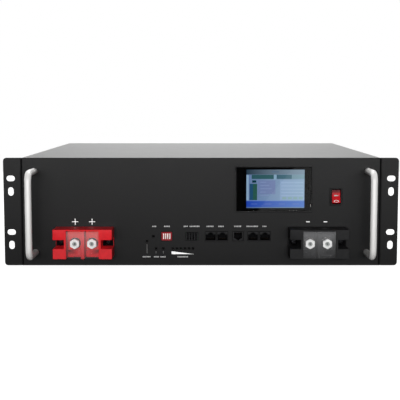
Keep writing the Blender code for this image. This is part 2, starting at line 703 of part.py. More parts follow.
def terminal_body(pole, x, bay, half_width):
    """A block that is notched at its ends for its screws, with bays that are open below."""
    finish_name = "red_plastic" if pole == "positive" else "black_plastic"
    width, height = BLOCK_SIZE
    body = front_box(f"{pole}_terminal_body", (x, BLOCK_Z), BLOCK_SIZE, (-BLOCK_REACH, -GAP), finish_name)
    front = -BLOCK_REACH - OVER
    below = BLOCK_Z - height / 2 - OVER
    notch_size = (NOTCH[0] + OVER, NOTCH[1])
    notch_x = (width - NOTCH[0] + OVER) / 2
    bore_radius, bore_end = BOLT_BORE
    cutters = []
    for way in (-1, 1):
        notch = front_box(f"{pole}_notch_{way}", (x + way * notch_x, BLOCK_Z), notch_size, (front, -FOOT))
        middle = x + way * bay
        low = (middle - BAY_WIDTH / 2, behind(front), below)
        high = (middle + BAY_WIDTH / 2, behind(-BAY_FLOOR), BAY_TOP)
        spot = (x + way * BOLT_OFFSET, FACE_Y, BOLT_Z)
        bore_span = (-BAY_FLOOR - OVER, -bore_end)
        bore = rod(f"{pole}_bore_{way}", bore_radius, "Y", bore_span, spot)
        cutters += [notch, box(f"{pole}_bay_{way}", low, high), bore]
    combine(body, cutters)

    seat_back = BAR_SHEET + GAP - BAR_FRONT
    seat_low = (x - half_width, behind(-BAR_FRONT - GAP), BAR_HEIGHT[0] - GAP)
    seat_high = (x + half_width, behind(seat_back), BAR_HEIGHT[1] + GAP)
    tail_size = grown((TAIL_WIDTH, BAR_SHEET), (GAP, GAP))
    lid_low = (x - half_width - GAP, behind(front), below)
    lid_high = (x + half_width + GAP, behind(LID_SHEET + GAP - LID_FRONT), BAY_TOP)
    hinge = (x, behind(-LID_HINGE[0]), LID_HINGE[1])
    barrel_span = (-half_width - GAP, half_width + GAP)
    pin_radius, pin_reach = LID_PIN
    pin_end = half_width + pin_reach + GAP
    rooms = [
        box(f"{pole}_bar_seat", seat_low, seat_high),
        front_box(f"{pole}_tail_slot", (x, TAIL_Z), tail_size, (seat_back - OVER, OVER)),
        box(f"{pole}_lid_room", lid_low, lid_high),
        rod(f"{pole}_barrel_room", LID_BARREL + GAP, "X", barrel_span, hinge),
        rod(f"{pole}_pin_holes", pin_radius + GAP, "X", (-pin_end, pin_end), hinge, sides=12),
    ]
    combine(body, rooms)


def bus_bar(name, x, half_width):
    """A flat bar across both bays, with a tail that runs back through the panel."""
    low, high = BAR_HEIGHT
    back = BAR_SHEET - BAR_FRONT
    reach = half_width - GAP
    bar = box(name, (x - reach, behind(-BAR_FRONT), low), (x + reach, behind(back), high), "plated_copper")
    tail_depths = (back - OVER, TAIL_END)
    combine(bar, [front_box(f"{name}_tail", (x, TAIL_Z), (TAIL_WIDTH, BAR_SHEET), tail_depths)], "UNION")
    hole_span = (-BAR_FRONT - OVER, back + OVER)
    holes = [
        rod(f"{name}_hole_{way}", BAR_HOLE, "Y", hole_span, (x + way * BOLT_OFFSET, FACE_Y, BOLT_Z))
        for way in (-1, 1)
    ]
    combine(bar, holes)


def terminal_bolt(name, x):
    """A hexagon bolt with its flat and spring washers, point up."""
    at = (x, FACE_Y, BOLT_Z)
    across, head_height = BOLT_HEAD
    flat_radius, flat_sheet = FLAT_WASHER
    spring_radius, spring_sheet = SPRING_WASHER
    shank_radius, shank_end = BOLT_SHANK
    overlap = GAP  # of each piece into the next
    seat = -BAR_FRONT - GAP
    spring_seat = seat - flat_sheet
    head_seat = spring_seat - spring_sheet
    corner = across / 2 / math.cos(math.pi / 6)
    head_span = (head_seat - head_height, head_seat)
    head = rod(name, corner, "Y", head_span, at, 6, "plated_steel")
    pieces = [
        rod(f"{name}_spring_washer", spring_radius, "Y", (head_seat - overlap, spring_seat), at),
        rod(f"{name}_washer", flat_radius, "Y", (spring_seat - overlap, seat), at, sides=24),
        rod(f"{name}_shank", shank_radius, "Y", (head_seat - overlap, -shank_end), at),
    ]
    for piece in pieces:
        combine(head, [piece], "UNION")


def terminal_lid(name, x, half):
    """A clear plate that hangs from a barrel, with its origin on the hinge."""
    hinge = (x, behind(-LID_HINGE[0]), LID_HINGE[1])
    pin_radius, pin_reach = LID_PIN
    lip_width, lip_height, lip_reach = LID_LIP
    front = behind(-LID_FRONT)
    lid = box(name, (x - half, front, LID_BOTTOM), (x + half, front + LID_SHEET, hinge[2]), "clear_plastic")
    lip_low = (x - lip_width / 2, front - lip_reach, LID_BOTTOM)
    lip_high = (x + lip_width / 2, front + LID_SHEET / 2, LID_BOTTOM + lip_height)
    pieces = [
        rod(f"{name}_barrel", LID_BARREL, "X", (-half, half), hinge),
        rod(f"{name}_pins", pin_radius, "X", (-half - pin_reach, half + pin_reach), hinge, sides=12),
        box(f"{name}_lip", lip_low, lip_high),
    ]
    for piece in pieces:
        combine(lid, [piece], "UNION")
    lid.data.transform(Matrix.Translation(lid.location - Vector(hinge)))
    lid.location = hinge


def cells():
    """Two rows of prismatic cells with their terminal posts, all sharing one mesh."""
    thick, length, height = CELL
    half = POST_SIZE / 2
    first = box("cell_front_1", (0.0, 0.0, 0.0), (thick, length, height), "cell_film")
    posts = [
        box(
            f"cell_post_{i}",
            (thick / 2 - half, y - half, height - OVER),
            (thick / 2 + half, y + half, height + POST_HEIGHT),
        )
        for i, y in enumerate((POST_INSET, length - POST_INSET))
    ]
    combine(first, posts, "UNION")
    bpy.context.view_layer.update()
    graph = bpy.context.evaluated_depsgraph_get()
    mesh = bpy.data.meshes.new_from_object(first.evaluated_get(graph))
    mesh.name = "cell"
    first.modifiers.clear()
    first.data = mesh
    for post in posts:
        bpy.data.objects.remove(post)
    middle_z = CELL_BASE + height / 2
    for row, label in enumerate(("front", "rear")):
        y = behind(CELLS_FRONT + length / 2 + row * (length + CELL_GAP))
        for number, x in enumerate(row_places(0.0, thick + CELL_GAP, CELLS_ACROSS), 1):
            name = f"cell_{label}_{number}"
            cell = first if name == first.name else place(name, mesh, (0.0, 0.0, 0.0))
            cell.location = (x, y, middle_z)


def cell_hardware():
    """The pad below the cells, the end plates beside them, and the link board on their posts."""
    thick, length, height = CELL
    pitch = thick + CELL_GAP
    half = (CELLS_ACROSS * pitch - CELL_GAP) / 2
    front, rear = CELLS_FRONT, CELLS_FRONT + 2 * length + CELL_GAP
    low = TRAY_SHEET + GAP
    box("cell_pad", (-half, behind(front), low), (half, behind(rear), low + PAD_SHEET), "foam")
    plate_top = CELL_BASE + height - POST_HEIGHT
    for label, side in (("left", -1), ("right", 1)):
        left, right = sorted((side * (half + GAP), side * (half + GAP + END_PLATE_SHEET)))
        corners = (left, behind(front), CELL_BASE), (right, behind(rear), plate_top)
        box(f"end_plate_{label}", *corners, "aluminium")

    base = CELL_BASE + height + POST_HEIGHT + GAP
    link_length, link_width, link_height = LINK
    board_low = (-half + LINK_BOARD_INSET, behind(front - LINK_BOARD_INSET), base)
    board_high = (half - LINK_BOARD_INSET, behind(rear - LINK_BOARD_INSET), base + LINK_BOARD_SHEET)
    board = box("cell_link_board", board_low, board_high, "circuit_board")
    links = []
    for row in (0, 1):
        for inset, count in ((POST_INSET, CELLS_ACROSS // 2), (length - POST_INSET, CELLS_ACROSS // 2 - 1)):
            y = front + row * (length + CELL_GAP) + inset
            for x in row_places(0.0, 2 * pitch, count):
                link_low = (x - link_length / 2, behind(y - link_width / 2), base + LINK_BOARD_SHEET / 2)
                link_high = (x + link_length / 2, behind(y + link_width / 2), base + link_height)
                links.append(box(f"link_{len(links)}", link_low, link_high))
    combine(board, links, "UNION")


def battery_management():
    """The protection board, and a finned heat sink on its transistors."""
    left, front, right, rear = BMS
    corners = (left, behind(front), BMS_Z), (right, behind(rear), BMS_Z + BMS_SHEET)
    board = box("bms_board", *corners, "circuit_board")
    width, length, height = TRANSISTOR
    near = front + SINK_INSET
    parts = [
        box(
            f"transistor_{x:.3f}",
            (x - width / 2, behind(near), BMS_Z + BMS_SHEET / 2),
            (x + width / 2, behind(near + length), BMS_Z + height),
        )
        for x in row_places((left + right) / 2, TRANSISTOR_PITCH, TRANSISTOR_COUNT)
    ]
    combine(board, parts, "UNION")
    low_x, high_x = left + SINK_INSET, right - SINK_INSET
    base = BMS_Z + height + GAP
    sheet, fin_height = FIN
    corners = (low_x, behind(near - OVER), base), (high_x, behind(rear - SINK_INSET), base + SINK_SHEET)
    sink = box("bms_heat_sink", *corners, "aluminium")
    fins = []
    for number in range(FIN_COUNT):
        y = near + FIN_PITCH * number
        corners = (low_x, behind(y), base + SINK_SHEET / 2), (high_x, behind(y + sheet), base + fin_height)
        fins.append(box(f"fin_{number}", *corners))
    combine(sink, fins, "UNION")


def smooth_route(points, steps=5):
    """Points on a smooth curve through the route's own points."""
    ends = [2 * points[0] - points[1], *points, 2 * points[-1] - points[-2]]
    route = []
    for i in range(len(points) - 1):
        a, b, c, d = ends[i : i + 4]
        for step in range(steps):
            t = step / steps
            route.append(
                b + (c - a) / 2 * t
                + (a - 2.5 * b + 2 * c - d / 2) * t**2
                + (1.5 * b - a / 2 - 1.5 * c + d / 2) * t**3
            )
    return [*route, points[-1]]


def power_leads():
    """Heavy leads from the bus-bar tails: positive to the link board, negative to the BMS board."""
    start = TAIL_END + GAP
    link_front = CELLS_FRONT - LINK_BOARD_INSET
    link_z = CELL_BASE + CELL[2] + POST_HEIGHT + GAP + LINK_BOARD_SHEET / 2
    up = [(0.0, start, TAIL_Z), (0.0, 0.030, TAIL_Z), (-0.004, 0.050, 0.050), (-0.010, 0.062, 0.080)]
    up += [(-0.012, 0.066, 0.105), (-0.012, 0.076, link_z), (-0.012, link_front - GAP, link_z)]
    across = [(0.0, start, TAIL_Z), (0.0, 0.030, TAIL_Z), (-0.006, 0.048, 0.046), (-0.020, 0.057, 0.0608)]
    across += [(BMS[2] + GAP - BLOCK_X, 0.057, 0.0608)]
    for name, x, route, finish_name in (
        ("positive_lead", -BLOCK_X, up, "red_cable"),
        ("negative_lead", BLOCK_X, across, "black_cable"),
    ):
        points = smooth_route([Vector(point) for point in route])
        tube(name, points, LEAD_RADIUS, (x, FACE_Y, 0.0), finish_name)


def build():
    chassis_tray()
    top_cover()
    front_panel()
    for label, side in (("left", -1), ("right", 1)):
        rack_ear(f"rack_ear_{label}", side)
        pull_handle(f"pull_handle_{label}", side)
    display()
    rocker_switch()
    reset_button()
    dip_switch()
    dry_contact_block()
    for name, x, kind in PORTS:
        comm_port(name, x, kind)
    interface_electronics()
    terminal_block("positive", -1)
    terminal_block("negative", 1)
    cells()
    cell_hardware()
    battery_management()
    power_leads()


build()
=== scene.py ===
import json
import math
import random

import bmesh
import bpy
from mathutils import Matrix, Vector

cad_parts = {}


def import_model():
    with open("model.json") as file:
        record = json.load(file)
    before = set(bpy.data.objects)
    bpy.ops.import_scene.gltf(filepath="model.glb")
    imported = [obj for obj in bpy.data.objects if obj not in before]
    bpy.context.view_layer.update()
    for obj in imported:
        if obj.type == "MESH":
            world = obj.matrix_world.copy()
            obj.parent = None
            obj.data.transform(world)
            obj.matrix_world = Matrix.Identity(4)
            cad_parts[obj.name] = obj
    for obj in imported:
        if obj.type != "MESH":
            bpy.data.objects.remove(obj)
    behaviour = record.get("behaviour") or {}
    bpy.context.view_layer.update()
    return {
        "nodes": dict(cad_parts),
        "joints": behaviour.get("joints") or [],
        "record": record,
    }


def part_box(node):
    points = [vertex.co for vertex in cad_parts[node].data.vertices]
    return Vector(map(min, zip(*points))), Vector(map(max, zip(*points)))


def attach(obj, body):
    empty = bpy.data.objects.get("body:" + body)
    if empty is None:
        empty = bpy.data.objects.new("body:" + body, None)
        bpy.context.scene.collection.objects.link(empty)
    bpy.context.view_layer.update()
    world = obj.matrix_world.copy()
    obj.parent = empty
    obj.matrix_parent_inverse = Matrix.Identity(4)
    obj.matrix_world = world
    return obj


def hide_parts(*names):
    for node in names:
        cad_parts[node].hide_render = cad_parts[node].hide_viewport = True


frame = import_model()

NODES = frame["nodes"]
PANEL_LOW, PANEL_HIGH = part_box("front_panel")
FACE_Y = PANEL_LOW.y  # the front face of the panel
MID_Z = (PANEL_LOW.z + PANEL_HIGH.z) / 2
CASE = "case"

# Camera: its place in metres, the angle that it looks down by, and its lens and sensor in millimetres
CAMERA_AT = (-0.0012, FACE_Y - 1.1435, 0.1985)
CAMERA_DOWN = 5.874
CAMERA_LENS = 84.6
CAMERA_SENSOR = 36.0

# Lit area of the display: left, bottom, right, top
SCREEN = (0.0554, 0.0711, 0.1263, 0.1182)

WELD = 0.000002  # vertices that are closer than this are one


# ---------------------------------------- colours and materials


def srgb(*levels):
    """Linear colour from display levels out of 255."""
    return tuple(((v / 255 + 0.055) / 1.055) ** 2.4 if v > 10 else v / 255 / 12.92 for v in levels)


def add_node(owner, kind, **values):
    """A material's or world's shader node; the values go on its sockets of the same names."""
    node = owner.node_tree.nodes.new(f"ShaderNode{kind}")
    for socket, value in values.items():
        node.inputs[socket.replace("_", " ")].default_value = value
    return node


def shader_of(material):
    return material.node_tree.nodes["Principled BSDF"]


def new_material(name, colour, roughness, metallic=0.0, **constants):
    """A Principled material; the constants go straight on the shader's own sockets."""
    material = bpy.data.materials.new(name)
    material.use_nodes = True
    shader = shader_of(material)
    shader.inputs["Base Color"].default_value = (*colour, 1.0)
    shader.inputs["Roughness"].default_value = roughness
    shader.inputs["Metallic"].default_value = metallic
    for socket, value in constants.items():
        shader.inputs[socket.replace("_", " ")].default_value = value
    return material


def coordinates(material):
    """Places in metres in the object's own axes."""
    return add_node(material, "TexCoord").outputs["Object"]


def along(material, axis):
    """The place along one axis, X, Y or Z."""
    split = add_node(material, "SeparateXYZ")
    material.node_tree.links.new(coordinates(material), split.inputs["Vector"])
    return split.outputs[axis]


def noise(material, scale, detail=3.0, stretch=(1.0, 1.0, 1.0)):
    """A noise factor in the object's own coordinates, scale in cycles per metre."""
    links = material.node_tree.links
    mapping = add_node(material, "Mapping", Scale=stretch)
    texture = add_node(material, "TexNoise", Scale=scale, Detail=detail)
    links.new(coordinates(material), mapping.inputs["Vector"])
    links.new(mapping.outputs["Vector"], texture.inputs["Vector"])
    return texture.outputs["Fac"]


def spread(material, factor, low, high, start=0.35, end=0.65):
    """A factor remapped to run between two values."""
    node = add_node(material, "MapRange", From_Min=start, From_Max=end, To_Min=low, To_Max=high)
    material.node_tree.links.new(factor, node.inputs["Value"])
    return node.outputs["Result"]


def vary_roughness(material, factor, low, high):
    """Roughness between two values by a factor."""
    result = spread(material, factor, low, high)
    material.node_tree.links.new(result, shader_of(material).inputs["Roughness"])


def vary_colour(material, factor, low, high):
    """Base colour between two colours by a factor."""
    links = material.node_tree.links
    ramp = add_node(material, "ValToRGB")
    ramp.color_ramp.elements[0].position = 0.35
    ramp.color_ramp.elements[0].color = (*low, 1.0)
    ramp.color_ramp.elements[1].position = 0.65
    ramp.color_ramp.elements[1].color = (*high, 1.0)
    links.new(factor, ramp.inputs["Fac"])
    links.new(ramp.outputs["Color"], shader_of(material).inputs["Base Color"])


def add_bump(material, factor, depth, strength=1.0):
    """Relief of a real depth in metres, on top of any bump that is there."""
    links = material.node_tree.links
    bump = add_node(material, "Bump", Distance=depth, Strength=strength)
    links.new(factor, bump.inputs["Height"])
    target = shader_of(material).inputs["Normal"]
    if target.is_linked:
        links.new(target.links[0].from_socket, bump.inputs["Normal"])
    links.new(bump.outputs["Normal"], target)


def shade(colour, factor):
    """A colour made darker or lighter."""
    return tuple(channel * factor for channel in colour)


def black_powder_coat():
    """Fine matt powder coat: orange peel under a tight grain, with faint handling marks."""
    colour = srgb(29, 29, 29.5)
    material = new_material("black_powder_coat", colour, 0.5, Specular_IOR_Level=0.12)
    vary_colour(material, noise(material, 2600, 2.0), shade(colour, 0.88), shade(colour, 1.12))
    vary_roughness(material, noise(material, 16, 5.0), 0.36, 0.42)
    add_bump(material, noise(material, 420, 2.0), 0.00004, 0.4)
    add_bump(material, noise(material, 2400, 2.0), 0.00002, 0.4)
    return material


def grey_case_coat():
    """Smooth satin grey on sheet steel, a little cloudy, with a light grain."""
    colour = srgb(168, 168, 168)
    material = new_material("grey_case_coat", colour, 0.42, 0.0, Specular_IOR_Level=0.5)
    vary_colour(material, noise(material, 5, 2.0), shade(colour, 0.99), shade(colour, 1.01))
    vary_roughness(material, noise(material, 60, 5.0), 0.40, 0.45)
    add_bump(material, noise(material, 900, 2.0), 0.00002, 0.4)
    return material


def satin_bar():
    """Bead-blasted and anodised bar: bright, soft, with faint draw lines along it."""
    colour = srgb(240, 239, 237)
    material = new_material("satin_bar", colour, 0.42, 0.1)
    vary_colour(material, noise(material, 60, 4.0), shade(colour, 0.98), colour)
    vary_roughness(material, noise(material, 500, 3.0, (1.0, 1.0, 0.04)), 0.36, 0.5)
    add_bump(material, noise(material, 3000, 2.0), 0.00001, 0.4)
    return material


def gloss_black():
    colour = srgb(9, 9, 10)
    material = new_material("gloss_black", colour, 0.3, Specular_IOR_Level=0.2)
    vary_roughness(material, noise(material, 240, 4.0), 0.27, 0.34)
    vary_colour(material, noise(material, 600, 3.0), shade(colour, 0.8), shade(colour, 1.2))
    add_bump(material, noise(material, 1800, 2.0), 0.000004, 0.3)
    return material


def border_print():
    """Black ink on the back of the display's glass: it has no gloss of its own."""
    colour = srgb(5, 5, 5.5)
    material = new_material("border_print", colour, 0.9, Specular_IOR_Level=0.0)
    vary_colour(material, noise(material, 900, 3.0), shade(colour, 0.8), shade(colour, 1.2))
    return material


def moulded(name, colour, roughness, grain=0.00002, gloss=0.45):
    """Injection-moulded plastic with a spark-eroded grain and slow flow shading."""
    material = new_material(name, colour, roughness, Specular_IOR_Level=gloss)
    vary_colour(material, noise(material, 140, 4.0), shade(colour, 0.92), shade(colour, 1.06))
    vary_roughness(material, noise(material, 320, 4.0), roughness - 0.05, roughness + 0.08)
    add_bump(material, noise(material, 2600, 2.0), grain, 0.5)
    return material


def rocker_red():
    """Deep red plastic, with painted shade that darkens it towards the rocker's upper end."""
    material = moulded("rocker_red", srgb(150, 6, 18), 0.3, 0.00001, 0.25)
    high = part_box("switch_rocker")[1]
    # painted shade: the red darkens over the rocker's upper end
    top = spread(material, along(material, "Z"), 0.3, 0.7, high.z - 0.0055, high.z - 0.0020)
    vary_colour(material, top, srgb(186, 14, 26), srgb(92, 4, 14))
    return material


def clear_glass():
    """Clear cover glass, with faint smears in its polish."""
    material = new_material("display_glass", (1.0, 1.0, 1.0), 0.0, Transmission_Weight=1.0, IOR=1.45)
    vary_colour(material, noise(material, 90, 3.0), (0.99, 0.99, 0.99), (1.0, 1.0, 1.0))
    return material


def lid_shade_rise(material):
    """A factor that rises from the lid's lower edge to its hinge, a little uneven; it sets the painted
    shade of the lid's haze.
    """
    links = material.node_tree.links
    low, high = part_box("positive_terminal_lid")
    rise = spread(material, along(material, "Z"), 0.33, 0.67, low.z, high.z)
    uneven = add_node(material, "Math")
    uneven.operation = "MULTIPLY_ADD"
    uneven.inputs[1].default_value = 0.06
    links.new(noise(material, 130, 4.0), uneven.inputs[0])
    links.new(rise, uneven.inputs[2])
    return uneven.outputs["Value"]


def clear_moulding():
    """Clear polycarbonate with a light haze, which shows as a veil on what it covers; the haze has painted
    shade, darkest at the lid's lower edge.
    """
    colour = srgb(244, 245, 248)
    material = new_material("clear_lid", colour, 0.18, Alpha=0.068)
    # painted shade: the haze falls to a quarter of its colour at the lid's lower edge
    vary_colour(material, lid_shade_rise(material), shade(colour, 0.25), colour)
    vary_roughness(material, noise(material, 220, 4.0), 0.14, 0.24)
    add_bump(material, noise(material, 160, 2.0), 0.00002, 0.3)
    return material


def metal(name, colour, roughness, stretch=(1.0, 1.0, 1.0), scale=900, metallic=1.0):
    """Plain metal with a directional or even grain, and slight staining."""
    material = new_material(name, colour, roughness, metallic)
    vary_colour(material, noise(material, 90, 5.0), shade(colour, 0.88), colour)
    vary_roughness(material, noise(material, scale, 3.0, stretch), roughness - 0.07, roughness + 0.09)
    add_bump(material, noise(material, scale, 2.0, stretch), 0.00001, 0.35)
    return material


def circuit_board():
    """Green solder mask over copper, with tracks and pads that show lighter."""
    colour = (0.008, 0.11, 0.045)
    material = new_material("circuit_board", colour, 0.4)
    links = material.node_tree.links
    brick = add_node(
        material, "TexBrick", Scale=130.0, Mortar_Size=0.012, Color1=(*colour, 1.0),
        Color2=(*shade(colour, 0.8), 1.0), Mortar=(0.02, 0.24, 0.09, 1.0),
    )
    links.new(coordinates(material), brick.inputs["Vector"])
    links.new(brick.outputs["Color"], shader_of(material).inputs["Base Color"])
    add_bump(material, brick.outputs["Fac"], 0.00003, 0.4)
    return material


def cell_film():
    """Blue shrink film on an aluminium can: glossy, slightly rumpled."""
    colour = (0.02, 0.10, 0.42)
    material = new_material("cell_film", colour, 0.3, Coat_Weight=0.4, Coat_Roughness=0.2)
    vary_colour(material, noise(material, 40, 4.0), shade(colour, 0.85), shade(colour, 1.1))
    add_bump(material, noise(material, 55, 3.0), 0.0004, 0.4)
    return material


def foam():
    colour = (0.03, 0.03, 0.03)
    material = new_material("foam", colour, 0.95)
    vary_colour(material, noise(material, 900, 2.0), shade(colour, 0.6), shade(colour, 1.5))
    add_bump(material, noise(material, 900, 2.0), 0.0003, 0.8)
    return material


def lit(name, left, right):
    """A patch of the lit display, between two colours across the screen, under a fine dot grid; the
    lighter right end is painted glare over the page's own colours.
    """
    material = new_material(name, shade(left, 0.04), 0.5, Specular_IOR_Level=0.0, Emission_Strength=0.93)
    links = material.node_tree.links
    # painted glare: the colour lightens from the screen's left end to its right
    across = spread(material, along(material, "X"), 0.0, 1.0, SCREEN[0], SCREEN[2])
    ramp = add_node(material, "ValToRGB")
    ramp.color_ramp.elements[0].color = (*left, 1.0)
    ramp.color_ramp.elements[1].color = (*right, 1.0)
    links.new(across, ramp.inputs["Fac"])
    dots = add_node(material, "Mix")
    dots.data_type = "RGBA"
    dots.blend_type = "MULTIPLY"
    dots.inputs["Factor"].default_value = 1.0
    grain = spread(material, noise(material, 4000, 1.0), 0.94, 1.0)
    links.new(ramp.outputs["Color"], dots.inputs["A"])
    links.new(grain, dots.inputs["B"])
    links.new(dots.outputs["Result"], shader_of(material).inputs["Emission Color"])
    return material


def ink(name, level, painted_glow=0.0):
    """Screen-printed ink, slightly uneven; the white ink gets a little glow, painted light that makes it
    read brighter.
    """
    colour = srgb(level, level, level)
    material = new_material(name, colour, 0.55, Specular_IOR_Level=0.3, Emission_Strength=painted_glow)
    vary_colour(material, noise(material, 1500, 3.0), shade(colour, 0.88), colour)
    add_bump(material, noise(material, 1500, 2.0), 0.000005, 0.3)
    return material


# Every finish, by the name that the pieces ask for
FINISH = {
    "black": black_powder_coat(),
    "grey": grey_case_coat(),
    "bar": satin_bar(),
    "gloss": gloss_black(),
    "border": border_print(),
    "black_plastic": moulded("black_plastic", srgb(31, 31, 32), 0.5, gloss=0.15),
    # near black for the display module and reset button, and painted shade in sockets, grooves, seams,
    # notches and the bolts' crosses
    "black_and_painted_shade": moulded("near_black_and_painted_shade", srgb(4, 4, 5), 0.6, gloss=0.05),
    "rim": moulded("dark_grey_plastic", srgb(34, 34, 35), 0.5, gloss=0.12),
    "red_plastic": moulded("red_plastic", srgb(222, 30, 40), 0.42, gloss=0.25),
    "sleeve_red": moulded("sleeve_red", srgb(216, 32, 26), 0.42, gloss=0.25),
    "dip_red": moulded("dip_red", srgb(160, 26, 38), 0.45, gloss=0.2),
    "rocker_red": rocker_red(),
    "white_plastic": moulded("white_plastic", srgb(248, 246, 242), 0.4),
    "glass": clear_glass(),
    "lid": clear_moulding(),
    "lens": moulded("smoked_lens", srgb(14, 14, 14), 0.15, 0.000004),
    "bus": metal("tinned_copper", srgb(150, 146, 140), 0.32, (1.0, 1.0, 0.06)),
    "zinc": metal("bright_zinc", srgb(253, 253, 252), 0.4, metallic=0.3),
    # painted shade in the dishes of the bolts' heads
    "recess": metal("shaded_recess", srgb(172, 178, 174), 0.5, metallic=0.0),
    "dark_zinc": metal("black_zinc", srgb(62, 62, 64), 0.42),
    # black for screws, and painted shade on the dry-contact clamps
    "black_screw": metal("black_screws_and_painted_clamp_shade", srgb(32, 32, 34), 0.42),
    "gold": metal("gold_contact", (0.03, 0.019, 0.008), 0.55),
    "board": circuit_board(),
    "film": cell_film(),
    "plate": metal("milled_aluminium", srgb(205, 206, 208), 0.35, (0.05, 1.0, 1.0)),
    "foam": foam(),
    "red_cable": moulded("red_cable", srgb(186, 24, 26), 0.5),
    "black_cable": moulded("black_cable", srgb(26, 26, 27), 0.5),
    # painted light: the white ink glows a little
    "ink": ink("white_ink", 252, 0.25),
    "caption_ink": ink("caption_ink", 206),
    "line_ink": ink("line_ink", 120),
    "mark_ink": ink("pale_mark", 224),
    "faint_ink": ink("faint_mark", 176),
}


# ---------------------------------------- shapes


def show(obj):
    """Puts an object in the scene."""
    bpy.context.scene.collection.objects.link(obj)


def finished(shape, name):
    """A mesh from a working shape, which goes."""
    mesh = bpy.data.meshes.new(name)
    shape.to_mesh(mesh)
    shape.free()
    return mesh


def add_piece(name, data, finish, slot, at=(0.0, 0.0, 0.0), body=CASE, replaces=()):
    """An object that rides on a body, with its finish and the nodes that it stands for."""
    obj = bpy.data.objects.new(name, data)
    obj.location = at
    show(obj)
    if not data.materials:
        data.materials.append(FINISH[finish])
    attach(obj, body)
    if replaces:
        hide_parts(*replaces)
    return obj


def smooth(mesh, angle=35.0):
    """Smooth shading with sharp edges past an angle in degrees."""
    mesh.shade_smooth()
    mesh.set_sharp_from_angle(angle=math.radians(angle))


def rounded(obj, width, segments=2, angle=40.0):
    """Rounds an object's edges."""
    modifier = obj.modifiers.new("Rounded", "BEVEL")
    modifier.width = width
    modifier.segments = segments
    modifier.limit_method = "ANGLE"
    modifier.angle_limit = math.radians(angle)
    modifier.use_clamp_overlap = False
    modifier.harden_normals = False
    return obj


def frame_mesh(node):
    """A node's mesh, welded, its flat faces in a few convex pieces."""
    shape = bmesh.new()
    shape.from_mesh(NODES[node].data)
    bmesh.ops.remove_doubles(shape, verts=shape.verts, dist=WELD)
    flat = math.radians(0.6)
    bmesh.ops.dissolve_limit(shape, angle_limit=flat, verts=shape.verts[:], edges=shape.edges[:])
    bmesh.ops.connect_verts_concave(shape, faces=shape.faces[:])
    mesh = finished(shape, f"{node}_skin")
    smooth(mesh)
    return mesh


def dress(node, finish, slot, width, segments=2, body=CASE):
    """A node's own shape with rounded edges, standing for it."""
    obj = add_piece(f"{node}_skin", frame_mesh(node), finish, slot, body=body, replaces=(node,))
    return rounded(obj, width, segments)


def boxes(name, spans):
    """One mesh of several boxes, each between two corners."""
    shape = bmesh.new()
    for low, high in spans:
        low, high = Vector(low), Vector(high)
        matrix = Matrix.Translation((low + high) / 2) @ Matrix.Diagonal((*(high - low), 1.0))
        bmesh.ops.create_cube(shape, size=1.0, matrix=matrix)
    return finished(shape, name)


def front_span(centre, size, near, far):
    """A box seen from the front, its depths measured behind the panel face."""
    (x, z), (width, height) = centre, size
    return (
        (x - width / 2, FACE_Y + near, z - height / 2),
        (x + width / 2, FACE_Y + far, z + height / 2),
    )


def prism_from_front(name, corners, near, far):
    """A flat outline seen from the front, between two depths behind the panel face."""
    shape = bmesh.new()
    front = [shape.verts.new((x, FACE_Y + near, z)) for x, z in corners]
    back = [shape.verts.new((x, FACE_Y + far, z)) for x, z in corners]
    shape.faces.new(front)
    shape.faces.new(back[::-1])
    for i in range(len(corners)):
        shape.faces.new((front[i - 1], front[i], back[i], back[i - 1]))
    bmesh.ops.recalc_face_normals(shape, faces=shape.faces)
    return finished(shape, name)


def add_boxes(name, spans, finish, slot, **ride):
    """Several boxes as one piece."""
    return add_piece(name, boxes(name, spans), finish, slot, **ride)


def centre_of(node):
    low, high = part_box(node)
    return (low + high) / 2


def paint_socket_shade(obj):
    """The insides of a piece's sockets, behind its front face, in near black as painted shade."""
    obj.data.materials.append(FINISH["black_and_painted_shade"])
    rim_depth = 0.0002
    front = min(vertex.co.y for vertex in obj.data.vertices) + rim_depth
    for face in obj.data.polygons:
        face.material_index = int(face.center.y > front)


def baked(obj):
    """The object's mesh with its modifiers applied; the object goes."""
    bpy.context.view_layer.update()
    mesh = bpy.data.meshes.new_from_object(obj.evaluated_get(bpy.context.evaluated_depsgraph_get()))
    mesh.name = obj.name
    bpy.data.objects.remove(obj)
    return mesh


def helper(name, mesh, matrix=None):
    """A working object that isn't part of the pack; it is removed when its mesh is baked."""
    obj = bpy.data.objects.new(name, mesh)
    show(obj)
    if matrix is not None:
        obj.matrix_world = matrix
    return obj


def lathe(name, profile, sides=32):
    """A turned mesh about Y: the profile gives (radius, y) pairs."""
    shape = bmesh.new()
    verts = [shape.verts.new((radius, y, 0.0)) for radius, y in profile]
    edges = [shape.edges.new(pair) for pair in zip(verts, verts[1:])]
    bmesh.ops.spin(
        shape, geom=verts + edges, cent=(0, 0, 0), axis=(0, 1, 0), angle=2 * math.pi, steps=sides
    )
    bmesh.ops.remove_doubles(shape, verts=shape.verts, dist=WELD)
    bmesh.ops.recalc_face_normals(shape, faces=shape.faces)
    mesh = finished(shape, name)
    smooth(mesh)
    return mesh


def cross_recess(reach, depth, y):
    """A driver's cross at a screw head's top, which faces -Y."""
    half = reach * 0.30 / 2
    over = y - 0.001
    spans = [
        ((-reach, over, -half), (reach, y + depth, half)),
        ((-half, over, -reach), (half, y + depth, reach)),
    ]
    return boxes("cross_recess", spans)


def cut(obj, cutter):
    """The object's mesh less that of a working object; both objects go."""
    modifier = obj.modifiers.new("Cut", "BOOLEAN")
    modifier.operation = "DIFFERENCE"
    modifier.solver = "EXACT"
    modifier.use_self = True
    modifier.object = cutter
    mesh = baked(obj)
    bpy.data.objects.remove(cutter)
    smooth(mesh)
    return mesh


